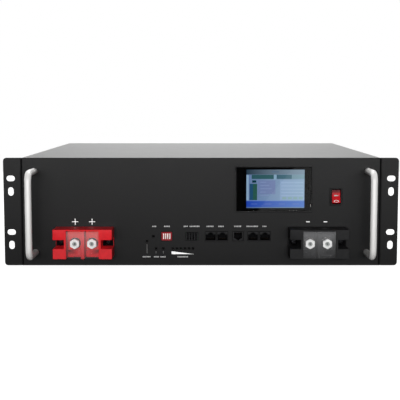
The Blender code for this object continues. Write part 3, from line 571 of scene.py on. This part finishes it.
def pan_head(name, radius, height):
    """A pan-head screw's head with its cross recess, facing -Y from y = 0."""
    fullness = 0.55  # of the rounding; 1 gives a plain quarter of an ellipse
    profile = [(0.0, 0.0), (radius, 0.0)]
    for step in range(1, 7):
        turn = math.radians(15 * step)
        profile.append((radius * math.cos(turn) ** fullness, -height * math.sin(turn)))
    profile[-1] = (0.0, -height)
    head = helper(name, lathe(name, profile, 28))
    return cut(head, helper("recess", cross_recess(radius * 0.52, height * 0.62, -height)))


def screws(mesh, name, places, direction, finish):
    """A screw head at each place, all sharing one mesh, facing along a direction."""
    turn = Vector((0, -1, 0)).rotation_difference(Vector(direction))
    spins = random.Random(len(name) * 7 + len(places))
    for number, place in enumerate(places, 1):
        obj = bpy.data.objects.new(f"{name}_{number}", mesh)
        spin = Matrix.Rotation(spins.uniform(0, math.pi / 2), 4, "Y")
        obj.matrix_world = Matrix.Translation(place) @ turn.to_matrix().to_4x4() @ spin
        show(obj)
        if not mesh.materials:
            mesh.materials.append(FINISH[finish])
        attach(obj, CASE)


# ---------------------------------------- case, ears and handles


SMALL_HEAD = (0.0028, 0.0019)  # radius and height of an M3 pan head
LARGE_HEAD = (0.0037, 0.0024)  # the same of an M4
EAR_FLANGE = 0.0023  # from the tray's side to the outside of the ear's flange
EAR_SCREW_ROWS = (0.0150, 0.0320)  # behind the ear's front
EAR_SCREW_INSET = 0.0220  # from the ear's top and bottom
COVER_SCREW_RISE = 0.0065  # above the lower edge of the cover's flange
COVER_SCREW_SHARES = (0.16, 0.38, 0.60, 0.82, 0.965)  # of the cover's depth
REAR_SCREWS_X = (-0.205, -0.07, 0.07, 0.205)
REAR_SCREW_INSET = 0.010  # from the rear wall's top and bottom
REAR_WALL_INSET = 0.0030  # from the tray's rearmost edge to its rear wall
# a near-black strip over each seam beside the ears, painted shade: its width and depths
SEAM_WIDTH = 0.0015
SEAM_DEPTHS = (-0.00005, 0.0004)
HANDLE_BEND = 0.0100
HANDLE_FOOT = 0.002  # from each end of the bar to the next point on it
HANDLE_FIT = 0.995  # of the bar's radius, so that it stays inside the solid one
BEND_STEPS = 16


def case_and_panel():
    """Tray, cover, panel and ears with rounded edges, and painted shade over the seams beside the ears."""
    dress("chassis_tray", "grey", "case_grey", 0.00025)
    dress("top_cover", "grey", "case_grey", 0.00025)
    dress("front_panel", "black", "panel_black", 0.0003)
    for side in ("left", "right"):
        dress(f"rack_ear_{side}", "black", "panel_black", 0.00035)
    ear_seams()


def case_screws():
    """Pan heads on the ears' side flanges, the cover's flanges and the rear wall."""
    small = pan_head("m3_pan_head", *SMALL_HEAD)
    large = pan_head("m4_pan_head", *LARGE_HEAD)
    tray_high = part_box("chassis_tray")[1]
    cover_low, cover_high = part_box("top_cover")
    run = cover_high.y - cover_low.y
    cover_z = cover_low.z + COVER_SCREW_RISE
    for side, way in (("left", -1), ("right", 1)):
        ear_low, ear_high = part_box(f"rack_ear_{side}")
        flange_x = way * (tray_high.x + EAR_FLANGE)
        heights = (EAR_SCREW_INSET, MID_Z, ear_high.z - EAR_SCREW_INSET)
        places = [(flange_x, ear_low.y + y, z) for y in EAR_SCREW_ROWS for z in heights]
        screws(large, f"ear_screw_{side}", places, (way, 0, 0), "black_screw")
        places = [(way * cover_high.x, cover_low.y + run * share, cover_z) for share in COVER_SCREW_SHARES]
        screws(small, f"cover_screw_{side}", places, (way, 0, 0), "zinc")
    rear_y = tray_high.y - REAR_WALL_INSET
    heights = (REAR_SCREW_INSET, tray_high.z - REAR_SCREW_INSET)
    places = [(x, rear_y, z) for x in REAR_SCREWS_X for z in heights]
    screws(small, "rear_screw", places, (0, 1, 0), "zinc")


def ear_seams():
    """A near-black strip over the seam between the panel and each ear, level with their faces: painted
    shade of the gap.
    """
    strips = []
    for side, way in (("left", -1), ("right", 1)):
        low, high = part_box(f"rack_ear_{side}")
        seam = way * (PANEL_HIGH.x + min(abs(low.x), abs(high.x))) / 2
        size = (SEAM_WIDTH, PANEL_HIGH.z - PANEL_LOW.z)
        strips.append(front_span((seam, MID_Z), size, *SEAM_DEPTHS))
    # painted shade: near-black strips over the seams
    add_boxes("ear_seams", strips, "black_and_painted_shade", "panel_black")


def pull_handle(side):
    """The bent bar drawn again with finer bends."""
    node = f"pull_handle_{side}"
    low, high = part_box(node)
    x, radius = (low.x + high.x) / 2, (high.x - low.x) / 2
    top, bottom, front = high.z - radius, low.z + radius, low.y + radius
    curve = bpy.data.curves.new(f"{node}_bar", "CURVE")
    curve.dimensions = "3D"
    curve.bevel_depth = radius * HANDLE_FIT
    curve.bevel_resolution = 10
    curve.use_fill_caps = True
    points = [(high.y, top), (high.y - HANDLE_FOOT, top)]
    for bend_z, start in ((top - HANDLE_BEND, 90), (bottom + HANDLE_BEND, 180)):
        for step in range(BEND_STEPS + 1):
            turn = math.radians(start + 90 * step / BEND_STEPS)
            y = front + HANDLE_BEND + HANDLE_BEND * math.cos(turn)
            points.append((y, bend_z + HANDLE_BEND * math.sin(turn)))
    points += [(high.y - HANDLE_FOOT, bottom), (high.y, bottom)]
    spline = curve.splines.new("POLY")
    spline.points.add(len(points) - 1)
    for spot, (y, z) in zip(spline.points, points):
        spot.co = (x, y, z, 1.0)
    spline.use_smooth = True
    add_piece(f"{node}_bar", curve, "bar", "handle_metal", replaces=(node,))


# ---------------------------------------- display


LAYER_STEP = 0.00005  # from one layer of the display page to the next
PATCH_SHEET = 0.00003
BORDER_DEPTHS = (0.00004, 0.00012)  # behind the glass
LIST_ROWS = (5, 0.65, 0.085)  # count, share of the height of the first, and step down
COLUMNS = 4  # of keys, and of tabs below them
KEYS = (0.62, 0.095)  # share of the width of the first, and step across
TABS = (0.08, 0.24)

# Display page: name; left, bottom, right and top in shares of the screen; layer; colours at the
# screen's left and right ends, the right ones lighter with painted glare from the cover glass
PAGE = (
    ("page", (0.0, 0.0, 1.0, 1.0), 0, (98, 124, 166), (154, 182, 208)),
    ("readings", (0.20, 0.36, 0.50, 0.72), 1, (104, 126, 170), (140, 150, 190)),
    ("list", (0.58, 0.20, 1.0, 0.72), 1, (122, 146, 192), (158, 186, 212)),
    ("header", (0.0, 0.87, 1.0, 1.0), 1, (36, 56, 72), (140, 162, 180)),
    ("status_left", (0.09, 0.755, 0.47, 0.865), 1, (42, 84, 92), (66, 110, 112)),
    ("status_middle", (0.52, 0.755, 0.78, 0.865), 1, (12, 52, 74), (92, 132, 146)),
    ("status_right", (0.78, 0.755, 1.0, 0.865), 1, (48, 90, 112), (140, 172, 186)),
    ("gauge_cap", (0.10, 0.66, 0.17, 0.72), 1, (8, 50, 58), (8, 50, 58)),
    ("gauge_left", (0.055, 0.20, 0.115, 0.63), 1, (34, 78, 112), (34, 78, 112)),
    ("gauge_right", (0.115, 0.20, 0.185, 0.63), 1, (42, 88, 78), (42, 88, 78)),
    ("footer", (0.0, 0.025, 1.0, 0.18), 1, (30, 68, 174), (98, 136, 210)),
    ("footer_line", (0.0, 0.18, 1.0, 0.205), 2, (96, 124, 188), (138, 170, 216)),
    ("footer_base", (0.0, 0.0, 1.0, 0.025), 2, (84, 112, 158), (126, 154, 184)),
    ("edge_left", (0.0, 0.20, 0.04, 0.86), 2, (142, 172, 200), (142, 172, 200)),
    ("divider", (0.475, 0.74, 0.515, 0.87), 2, (138, 172, 196), (138, 172, 196)),
    ("title", (0.44, 0.925, 0.56, 0.955), 3, (84, 108, 132), (96, 120, 144)),
)


def screen_patch(name, shares, layer, left, right):
    """A lit rectangle in shares of the screen's width and height, in one of its layers."""
    x0, z0, x1, z1 = SCREEN
    width, height = x1 - x0, z1 - z0
    y = FACE_Y - LAYER_STEP * (layer + 1)
    low = (x0 + width * shares[0], y - PATCH_SHEET, z0 + height * shares[1])
    high = (x0 + width * shares[2], y, z0 + height * shares[3])
    finish = f"lit_{name}"
    FINISH[finish] = lit(finish, srgb(*left), srgb(*right))
    add_boxes(f"screen_{name}", [(low, high)], finish, "screen")


def display():
    """Bezel, glass and border print, and a plain monitoring page on the lit module."""
    dress("lcd_bezel", "gloss", "bezel_black", 0.0003)
    dress("lcd_module", "black_and_painted_shade", "screen", 0.0002)
    low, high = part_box("lcd_glass")
    glass = dress("lcd_glass", "glass", "cover_glass", 0.0001, 1)
    glass.name = "display_glass"
    x0, z0, x1, z1 = SCREEN
    near, far = (high.y + depth for depth in BORDER_DEPTHS)
    mask = [
        ((low.x, near, low.z), (x0, far, high.z)),
        ((x1, near, low.z), (high.x, far, high.z)),
        ((x0, near, low.z), (x1, far, z0)),
        ((x0, near, z1), (x1, far, high.z)),
    ]
    add_boxes("display_border", mask, "border", "bezel_black")
    for name, shares, layer, left, right in PAGE:
        screen_patch(name, shares, layer, left, right)
    count, first, pitch = LIST_ROWS
    for row in range(count):
        z = first - pitch * row
        screen_patch(f"row_{row}", (0.60, z, 0.98, z + 0.02), 2, (136, 158, 202), (170, 198, 222))
        entry = (0.24, z + 0.01, 0.34 + 0.05 * (row % 3), z + 0.03)
        screen_patch(f"entry_{row}", entry, 2, (122, 142, 186), (146, 162, 200))
    for column in range(COLUMNS):
        x = KEYS[0] + KEYS[1] * column
        screen_patch(f"key_{column}", (x, 0.225, x + 0.07, 0.29), 3, (118, 148, 158), (152, 186, 190))
        x = TABS[0] + TABS[1] * column
        screen_patch(f"tab_{column}", (x, 0.09, x + 0.11, 0.12), 3, (62, 92, 184), (112, 142, 206))


# ---------------------------------------- switch and interface row


ROCKER_TILT = math.radians(11)  # of each half of the rocker's face, and of the rocker at rest
ROCKER_CROWN = 0.0026  # from the hinge to the middle of the rocker's face
ROCKER_BAR = (0.0050, 0.0014, 0.0012)  # width, height, and place above the middle
ROCKER_RING = (0.0060, 0.0030, 0.0010, -0.0060)  # width, height, line, and place above the middle
MARK_SHEET = 0.0001

PORT_CONTACTS = {
    "rs485_port": 8, "can_port": 8, "rs232_port": 6, "parallel_in_port": 8, "parallel_out_port": 8,
}
CONTACT_PITCH = 0.00102
CONTACT_WIDTH = 0.0004
CONTACT_SHEET = 0.0003
CONTACT_DEPTHS = (0.0045, 0.0105)
CONTACT_DROP = 0.0030  # from the jack's middle, away from its latch

GRIP_RISE = 0.0006  # of a slider's grip over its plate
GRIP_SIZE = (0.0009, 0.0026)  # depth and height
GRIP_SIDE = 0.0001  # from the slider's sides
SLOT_FLOOR_DEPTHS = (0.00195, 0.00215)
SLOT_FLOOR_ENDS = (-0.0008, 0.0021)  # from the slider's top

DRY_CONTACTS = 4
DRY_CONTACT_PITCH = 0.0033
CLAMP_SIZE = (0.0012, 0.0044)
CLAMP_DEPTHS = (0.0045, 0.0068)
GROOVE_SIZE = (0.0018, 0.0014)
GROOVE_DEPTHS = (-0.00055, -0.0004)
GROOVE_RISE = 0.0039

PRINT_DEPTHS = (-0.00004, 0.0002)  # of all print on the panel, a little proud of its face
PLUS_X, PLUS_Z = (-0.1542, -0.1335), 0.0541
PLUS_BARS = ((0.0078, 0.0008), (0.0008, 0.0074))
MINUS_X, MINUS_Z = (0.1312, 0.1525), 0.0540
MINUS_BAR = (0.0046, 0.0010)
# Lead lines: place across, lower end, upper end
LEAD_LINES = ((-0.0663, 0.0150, 0.0262), (-0.0553, 0.0148, 0.0180), (-0.0463, 0.0148, 0.0180))
LEAD_WIDTH = 0.0006
WEDGE = ((-0.0362, 0.0139), (-0.0082, 0.0139), (-0.0362, 0.0175))
DASH_SIZE = (0.0012, 0.0015)
UPPER_CAPTIONS = (  # middle, and the words, a dash for each letter
    (-0.0574, "###"), (-0.0418, "####"), (-0.0115, "### #######"), (0.0111, "#####"), (0.0247, "####"),
    (0.0449, "#####"), (0.0629, "########"), (0.0778, "###"),
)
LOWER_CAPTIONS = ((-0.0669, "######"), (-0.0548, "####"), (-0.0467, "####"), (-0.0225, "########"))
CAPTION_ROWS = (  # height, pitch of the dashes, captions
    (0.0484, 0.0018, UPPER_CAPTIONS),
    (0.0106, 0.0018 * 0.92, LOWER_CAPTIONS),
)


def joint_place(name):
    """Where a joint's axis passes, at rest."""
    return next(Vector(joint["pos_m"]) for joint in frame["joints"] if joint["name"] == name)


def oval_ring(name, width, height, line):
    """A flat oval ring facing -Y around the origin."""
    inner, outer = width / 2 - line, width / 2
    profile = [(inner, 0.0), (outer, 0.0), (outer, -MARK_SHEET), (inner, -MARK_SHEET), (inner, 0.0)]
    ring = lathe(name, profile)
    ring.transform(Matrix.Diagonal((1.0, 1.0, height / width, 1.0)))
    return ring


def rocker_switch():
    """Frame and rocker with rounded edges, and a bar and a ring printed on its two halves."""
    dress("switch_frame", "gloss", "black_plastic", 0.0005, 3)
    dress("switch_rocker", "rocker_red", "red_plastic", 0.0007, 3, body="power_rocker")
    crown = Matrix.Translation((0, -ROCKER_CROWN, 0))
    face = Matrix.Translation(joint_place("rocker_hinge")) @ Matrix.Rotation(-ROCKER_TILT, 4, "X") @ crown
    width, height, place = ROCKER_BAR
    bar = boxes("rocker_bar", [((-width / 2, -MARK_SHEET, -height / 2), (width / 2, 0.0, height / 2))])
    bar.transform(face @ Matrix.Rotation(ROCKER_TILT, 4, "X") @ Matrix.Translation((0, 0, place)))
    add_piece("rocker_bar", bar, "faint_ink", "white_plastic", body="power_rocker")
    width, height, line, place = ROCKER_RING
    ring = oval_ring("rocker_ring", width, height, line)
    ring.transform(face @ Matrix.Rotation(-ROCKER_TILT, 4, "X") @ Matrix.Translation((0, 0, place)))
    add_piece("rocker_ring", ring, "mark_ink", "white_plastic", body="power_rocker")


def data_ports():
    """Jacks with rounded mouths, and a row of gold contacts in each, opposite its latch."""
    near, far = (FACE_Y + depth for depth in CONTACT_DEPTHS)
    half = CONTACT_WIDTH / 2
    for node, count in PORT_CONTACTS.items():
        paint_socket_shade(dress(node, "rim", "black_plastic", 0.0002))
        centre = centre_of(node)
        way = -1 if count == 6 else 1
        z = centre.z - way * CONTACT_DROP
        low_z, high_z = sorted((z, z - way * CONTACT_SHEET))
        spans = []
        for index in range(count):
            x = centre.x + CONTACT_PITCH * (index - (count - 1) / 2)
            spans.append(((x - half, near, low_z), (x + half, far, high_z)))
        add_boxes(f"{node}_contacts", spans, "gold", "plated_copper")


def dip_switch():
    """The red body and its four sliders, each a plate with a raised grip, over pale slot floors."""
    dress("dip_body", "dip_red", "red_plastic", 0.0003)
    grip_depth, grip_height = GRIP_SIZE
    floor_near, floor_far = (FACE_Y + depth for depth in SLOT_FLOOR_DEPTHS)
    floors = []
    for number in range(1, 5):
        node = f"dip_slider_{number}"
        low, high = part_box(node)
        middle = (low.z + high.z) / 2
        grip_low = (low.x + GRIP_SIDE, low.y, middle - grip_height / 2)
        grip_high = (high.x - GRIP_SIDE, low.y + grip_depth, middle + grip_height / 2)
        spans = [((low.x, low.y + GRIP_RISE, low.z), (high.x, high.y, high.z)), (grip_low, grip_high)]
        white = "white_plastic"
        grip = add_boxes(f"{node}_grip", spans, white, white, body=node, replaces=(node,))
        rounded(grip, 0.00015)
        floor_low, floor_high = (high.z + end for end in SLOT_FLOOR_ENDS)
        floors.append(((low.x, floor_near, floor_low), (high.x, floor_far, floor_high)))
    add_boxes("dip_slot_floors", floors, "white_plastic", "white_plastic")


def small_controls():
    """Reset button, dry-contact block with painted shade in its sockets and grooves and on its clamps, and
    the status lights' lenses.
    """
    dress("reset_button", "black_and_painted_shade", "black_plastic", 0.0003, body="reset_button")
    paint_socket_shade(dress("dry_contact_block", "rim", "black_plastic", 0.0002))
    dress("light_pipes", "lens", "light_pipe", 0.0002)
    centre = centre_of("dry_contact_block")
    clamps = []
    grooves = []
    for index in range(DRY_CONTACTS):
        x = centre.x + DRY_CONTACT_PITCH * (index - (DRY_CONTACTS - 1) / 2)
        clamps.append(front_span((x, centre.z), CLAMP_SIZE, *CLAMP_DEPTHS))
        for way in (-1, 1):
            spot = (x, centre.z + way * GROOVE_RISE)
            grooves.append(front_span(spot, GROOVE_SIZE, *GROOVE_DEPTHS))
    # painted shade: the grooves are near-black boxes on the block's face
    add_boxes("dry_contact_grooves", grooves, "black_and_painted_shade", "black_plastic")
    # painted shade: the clamps are black in the block's openings
    add_boxes("dry_contact_clamps", clamps, "black_screw", "plated_steel")


def printed_marks():
    """Screen print on the panel: signs over the blocks, lead lines, a wedge, and rows of dashes
    where the captions are."""
    signs = [front_span((x, PLUS_Z), size, *PRINT_DEPTHS) for x in PLUS_X for size in PLUS_BARS]
    signs += [front_span((x, MINUS_Z), MINUS_BAR, *PRINT_DEPTHS) for x in MINUS_X]
    add_boxes("panel_signs", signs, "ink", "white_plastic")
    lines = [
        front_span((x, (low + high) / 2), (LEAD_WIDTH, high - low), *PRINT_DEPTHS)
        for x, low, high in LEAD_LINES
    ]
    add_boxes("lead_lines", lines, "line_ink", "white_plastic")
    dashes = []
    for z, pitch, captions in CAPTION_ROWS:
        for x, words in captions:
            for index, letter in enumerate(words):
                spot = x + pitch * (index - (len(words) - 1) / 2)
                if letter == "#":
                    dashes.append(front_span((spot, z), DASH_SIZE, *PRINT_DEPTHS))
    add_boxes("caption_dashes", dashes, "caption_ink", "white_plastic")
    wedge = prism_from_front("charge_wedge", WEDGE, *PRINT_DEPTHS)
    add_piece("charge_wedge", wedge, "ink", "white_plastic")


# ---------------------------------------- power terminals


# Sizes of a bolt's head
HEAD_HEIGHT = 0.0052
HEAD_HALF_FLATS = 0.0054
HEAD_RIM = 0.0058  # radius beyond which the corners are turned off
HEAD_SLOPE = 0.55  # fall of the turned corners for each metre outwards
DISH = (0.0027, 0.0021, 0.0009)  # radius at the rim and at the floor, and the floor's height
CROSS_ARM = (0.0016, 0.0004, 0.0001)  # half its length, half its width, and its thickness

WASHER_BORE = 0.0042  # radius
FLAT_WASHER = (0.0065, 0.0015, 0.0003)  # radius, thickness, chamfer
SPRING_WASHER = (0.0060, 0.0016, 0.0003)  # radius, thickness, and the rise of its upper end
SPRING_STACK = 0.0019  # thickness and rise together

SLEEVE_INSET = 0.0002  # from the edges of the bar
SLEEVE_SHEET = 0.0003
SLEEVE_HOLE = 0.0068  # radius around each bolt
FLAP_ENDS = (0.0024, 0.0194)  # from the middle of the block
FLAP_RISE = 0.0085  # above the bar

# a near-black plate in each end notch of a block, painted shade: its width and height
NOTCH_SHADE_PLATE = (0.0126, 0.0101)
NOTCH_SHADE_DEPTHS = (-0.0056, -0.0046)  # in front of the panel, so below zero
NOTCH_SHADE_INSET = 0.0069  # of its middle from the end of the block
MOUNTING_HEAD = (0.0044, 0.0030)  # radius and height of an M5 pan head
MOUNTING_INSET = 0.0070  # of its axis from the end of the block


def hex_head(name):
    """A bolt head, point up and seated at y = 0: a hexagon whose corners are turned off, and a dish
    with a driver's cross in it; the dish is painted grey and the cross near black, as painted shade."""
    sides = 96
    dish_rim, dish_foot, dish_rise = DISH
    dish_floor = dish_rise - HEAD_HEIGHT
    shape = bmesh.new()
    rings = []
    for step in range(sides):
        turn = 2 * math.pi * step / sides
        off_flat = (turn + math.pi / 6) % (math.pi / 3) - math.pi / 6
        reach = HEAD_HALF_FLATS / math.cos(off_flat)
        shoulder = HEAD_SLOPE * max(0.0, reach - HEAD_RIM) - HEAD_HEIGHT
        profile = (
            (0.0, 0.0), (reach, 0.0), (reach, shoulder), (min(reach, HEAD_RIM), -HEAD_HEIGHT),
            (dish_rim, -HEAD_HEIGHT), (dish_foot, dish_floor), (0.0, dish_floor),
        )
        rings.append([shape.verts.new((r * math.cos(turn), y, r * math.sin(turn))) for r, y in profile])
    for one, two in zip(rings, rings[1:] + rings[:1]):
        for i in range(1, len(one)):
            face = shape.faces.new((one[i - 1], one[i], two[i], two[i - 1]))
            # the dish's faces take the second finish, grey painted shade
            face.material_index = int(i > 4)
    bmesh.ops.remove_doubles(shape, verts=shape.verts, dist=WELD)
    bmesh.ops.recalc_face_normals(shape, faces=shape.faces)
    half_length, half_width, sheet = CROSS_ARM
    for half_x, half_z in ((half_width, half_length), (half_length, half_width)):
        size = Matrix.Diagonal((2 * half_x, sheet, 2 * half_z, 1.0))
        matrix = Matrix.Translation((0, dish_floor, 0)) @ size
        made = bmesh.ops.create_cube(shape, size=1.0, matrix=matrix)
        for face in {face for vertex in made["verts"] for face in vertex.link_faces}:
            # the cross takes the third finish, near black painted shade
            face.material_index = 2
    mesh = finished(shape, name)
    for finish in ("zinc", "recess", "black_and_painted_shade"):
        mesh.materials.append(FINISH[finish])
    smooth(mesh, 25)
    return mesh


def flat_washer(name):
    """A plain washer with chamfered front edges, seated at y = 0."""
    inner = WASHER_BORE
    outer, thick, chamfer = FLAT_WASHER
    profile = [
        (inner, 0.0), (outer, 0.0), (outer, chamfer - thick), (outer - chamfer, -thick),
        (inner + chamfer, -thick), (inner, chamfer - thick), (inner, 0.0),
    ]
    return lathe(name, profile, 40)


def spring_washer(name):
    """A split ring whose ends stand a little apart."""
    inner = WASHER_BORE
    outer, thick, rise = SPRING_WASHER
    shape = bmesh.new()
    steps, first, sweep = 46, math.radians(96), math.radians(348)
    rings = []
    for step in range(steps + 1):
        turn = first + sweep * step / steps
        lift = rise * step / steps
        corners = ((inner, 0.0), (outer, 0.0), (outer, -thick), (inner, -thick))
        rings.append(
            [shape.verts.new((r * math.cos(turn), y - lift, r * math.sin(turn))) for r, y in corners]
        )
    for one, two in zip(rings, rings[1:]):
        for i in range(4):
            shape.faces.new((one[i - 1], one[i], two[i], two[i - 1]))
    shape.faces.new(rings[0])
    shape.faces.new(rings[-1][::-1])
    bmesh.ops.recalc_face_normals(shape, faces=shape.faces)
    mesh = finished(shape, name)
    smooth(mesh)
    return mesh


def bar_sleeve(pole, finish, slot):
    """An insulating sleeve over the bar's face, open around each bolt, with a flap up each bay."""
    low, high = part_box(f"{pole}_bus_bar")
    near, top = low.y - SLEEVE_SHEET, high.z - SLEEVE_INSET
    spans = [((low.x + SLEEVE_INSET, near, low.z + SLEEVE_INSET), (high.x - SLEEVE_INSET, low.y, top))]
    middle = (low.x + high.x) / 2
    for way in (-1, 1):
        left, right = sorted(middle + way * end for end in FLAP_ENDS)
        spans.append(((left, near, top), (right, low.y + SLEEVE_SHEET, high.z + FLAP_RISE)))
    name = f"{pole}_bar_sleeve"
    mesh = boxes(name, spans)
    over = 0.002
    profile = [(0.0, over), (SLEEVE_HOLE, over), (SLEEVE_HOLE, -over), (0.0, -over)]
    for side in ("left", "right"):
        centre = centre_of(f"{pole}_bolt_{side}")
        at = Matrix.Translation((centre.x, low.y, centre.z))
        mesh = cut(helper(name, mesh), helper("hole", lathe("hole", profile, 40), at))
    add_piece(name, mesh, finish, slot)


def terminal_bolt(node, seat, meshes):
    """A bolt's head over its spring and flat washers, from the bar's face outwards."""
    head, spring, flat = meshes
    centre = centre_of(node)
    at = Vector((centre.x, seat, centre.z))
    add_piece(f"{node}_washer", flat, "dark_zinc", "plated_steel", at)
    at = at - Vector((0, FLAT_WASHER[1], 0))
    add_piece(f"{node}_spring", spring, "dark_zinc", "plated_steel", at)
    at = at - Vector((0, SPRING_STACK, 0))
    add_piece(f"{node}_head", head, "zinc", "plated_steel", at, replaces=(node,))


def terminal_block(pole, plastic, sleeve, meshes, mounting):
    """Body, bar and sleeve, clear lid, bolts, and a mounting screw on a near-black plate of painted shade
    in each end notch.
    """
    dress(f"{pole}_terminal_body", plastic, plastic, 0.0005)
    dress(f"{pole}_bus_bar", "bus", "plated_copper", 0.0003)
    bar_sleeve(pole, sleeve, plastic)
    lid = dress(f"{pole}_terminal_lid", "lid", "clear_lid", 0.0002, body=f"{pole}_lid")
    lid.name = f"{pole}_clear_lid"
    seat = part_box(f"{pole}_bus_bar")[0].y
    for side in ("left", "right"):
        terminal_bolt(f"{pole}_bolt_{side}", seat, meshes)
    low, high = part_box(f"{pole}_terminal_body")
    middle_z = (low.z + high.z) / 2
    # painted shade: a near-black plate fills each end notch
    notch_shades = [
        front_span((x, middle_z), NOTCH_SHADE_PLATE, *NOTCH_SHADE_DEPTHS)
        for x in (low.x + NOTCH_SHADE_INSET, high.x - NOTCH_SHADE_INSET)
    ]
    add_boxes(f"{pole}_notch_shade_plates", notch_shades, "black_and_painted_shade", "panel_black")
    front_y = FACE_Y + NOTCH_SHADE_DEPTHS[0]
    places = [(x, front_y, middle_z) for x in (low.x + MOUNTING_INSET, high.x - MOUNTING_INSET)]
    screws(mounting, f"{pole}_block_screw", places, (0, -1, 0), "black_screw")


def terminal_blocks():
    """Both blocks, which share the meshes of their bolts, washers and screws."""
    meshes = hex_head("bolt_head"), spring_washer("spring_washer"), flat_washer("flat_washer")
    mounting = pan_head("m5_pan_head", *MOUNTING_HEAD)
    terminal_block("positive", "red_plastic", "sleeve_red", meshes, mounting)
    terminal_block("negative", "black_plastic", "black_plastic", meshes, mounting)


# ---------------------------------------- hidden pieces


def inner_pieces():
    """The pieces inside the closed case keep their solids and take their finishes."""
    finishes = {
        "cell_film": "film", "foam": "foam", "circuit_board": "board", "bare_aluminium": "plate",
        "red_cable": "red_cable", "black_cable": "black_cable",
    }
    for row in frame["record"]["subparts"]:
        if row["material_slot"] in finishes:
            for place in NODES[row["node"]].material_slots:
                place.material = FINISH[finishes[row["material_slot"]]]


# ---------------------------------------- stage, lights and camera


FLOOR = ((-1.6, -1.0, -0.0204), (1.6, 1.4, -0.0004))  # two corners
FLOOR_GLOW = 0.95
SKY = ((0.0, 0.015), (0.49, 0.02), (0.56, 0.08), (1.0, 0.25))  # share from nadir to zenith, and level


def stage():
    """A white floor just below the pack, which throws no light back on it."""
    floor = helper("floor", boxes("floor", [FLOOR]))
    material = new_material("floor_white", (0.25, 0.25, 0.25), 0.9, Specular_IOR_Level=0.0)
    shader = shader_of(material)
    shader.inputs["Emission Color"].default_value = (1.0, 1.0, 1.0, 1.0)
    shader.inputs["Emission Strength"].default_value = FLOOR_GLOW
    floor.data.materials.append(material)
    floor.visible_diffuse = False
    floor.visible_glossy = False
    floor.visible_transmission = False


def world():
    """White where the camera sees it; for the pack, a soft studio that is brightest overhead
    and dark below the horizon."""
    made = bpy.data.worlds.new("studio")
    bpy.context.scene.world = made
    made.use_nodes = True
    made.node_tree.nodes.clear()
    directions = add_node(made, "TexCoord")
    split = add_node(made, "SeparateXYZ")
    ramp = add_node(made, "ValToRGB")
    ends = ramp.color_ramp.elements
    for element, (position, level) in zip((ends[0], ends[1]), (SKY[0], SKY[-1])):
        element.position = position
        element.color = (level, level, level, 1.0)
    for position, level in SKY[1:-1]:
        ends.new(position).color = (level, level, level, 1.0)
    height = add_node(made, "MapRange", From_Min=-1.0, From_Max=1.0)
    soft = add_node(made, "Background")
    white = add_node(made, "Background", Color=(1.0, 1.0, 1.0, 1.0))
    path = add_node(made, "LightPath")
    mix = add_node(made, "MixShader")
    out = add_node(made, "OutputWorld")
    links = made.node_tree.links
    links.new(directions.outputs["Generated"], split.inputs["Vector"])
    links.new(split.outputs["Z"], height.inputs["Value"])
    links.new(height.outputs["Result"], ramp.inputs["Fac"])
    links.new(ramp.outputs["Color"], soft.inputs["Color"])
    links.new(path.outputs["Is Camera Ray"], mix.inputs["Fac"])
    links.new(soft.outputs["Background"], mix.inputs[1])
    links.new(white.outputs["Background"], mix.inputs[2])
    links.new(mix.outputs["Shader"], out.inputs["Surface"])


def area_light(name, at, towards, size, power):
    """A rectangular softbox, which the camera doesn't see."""
    data = bpy.data.lights.new(name, "AREA")
    data.shape = "RECTANGLE"
    data.size, data.size_y = size
    data.energy = power
    light = bpy.data.objects.new(name, data)
    light.location = at
    light.rotation_euler = (Vector(towards) - Vector(at)).to_track_quat("-Z", "Y").to_euler()
    light.visible_camera = False
    show(light)
    return light


def sun(name, elevation, width, strength):
    """A far light straight in front, at an elevation and with an apparent width in degrees."""
    data = bpy.data.lights.new(name, "SUN")
    data.energy = strength
    data.angle = math.radians(width)
    light = bpy.data.objects.new(name, data)
    light.rotation_euler = (math.radians(90 - elevation), 0.0, 0.0)
    light.visible_glossy = False
    light.visible_transmission = False
    show(light)


def lights():
    """A far soft light in front, a box above and behind for the cover, fills for the sides and the
    rear, a wide box in front that shows as sheen only, and a low card whose edge crosses the
    display's glass as a slanting reflection."""
    sun("front_sun", elevation=4, width=20, strength=2.7)
    area_light("overhead", at=(0.0, 0.62, 1.4), towards=(0.0, 0.03, 0.13), size=(1.2, 0.6), power=19.4)
    for name, side in (("fill_left", -1), ("fill_right", 1)):
        place = (side * 1.3, 0.75, 0.55)
        area_light(name, at=place, towards=(0.0, 0.05, 0.06), size=(0.7, 0.5), power=5.0)
    area_light("fill_rear", at=(0.0, 1.5, 0.95), towards=(0.0, 0.2, 0.07), size=(0.9, 0.4), power=1.2)
    place = (0.0, FACE_Y - 1.2, 0.28)
    sheen = area_light("front_sheen", at=place, towards=(0.0, FACE_Y, 0.10), size=(1.8, 0.3), power=14.5)
    sheen.visible_diffuse = False
    x, y, z = 0.343, -1.63, -0.1475
    card = area_light("glare_card", at=(x, y, z), towards=(x, 0.0, z), size=(0.35, 0.50), power=0.16)
    card.rotation_euler.rotate_axis("Z", math.radians(-39.7))


def camera():
    """Level across, in front of the pack and a little above it."""
    data = bpy.data.cameras.new("camera")
    data.lens = CAMERA_LENS
    data.sensor_width = CAMERA_SENSOR
    obj = bpy.data.objects.new("camera", data)
    obj.location = CAMERA_AT
    obj.rotation_euler = (math.radians(90 - CAMERA_DOWN), 0.0, 0.0)
    show(obj)
    bpy.context.scene.camera = obj


camera()
world()
lights()
stage()
case_and_panel()
case_screws()
for side in ("left", "right"):
    pull_handle(side)
display()
rocker_switch()
data_ports()
dip_switch()
small_controls()
printed_marks()
terminal_blocks()
inner_pieces()
bpy.context.scene.view_settings.view_transform = "Standard"
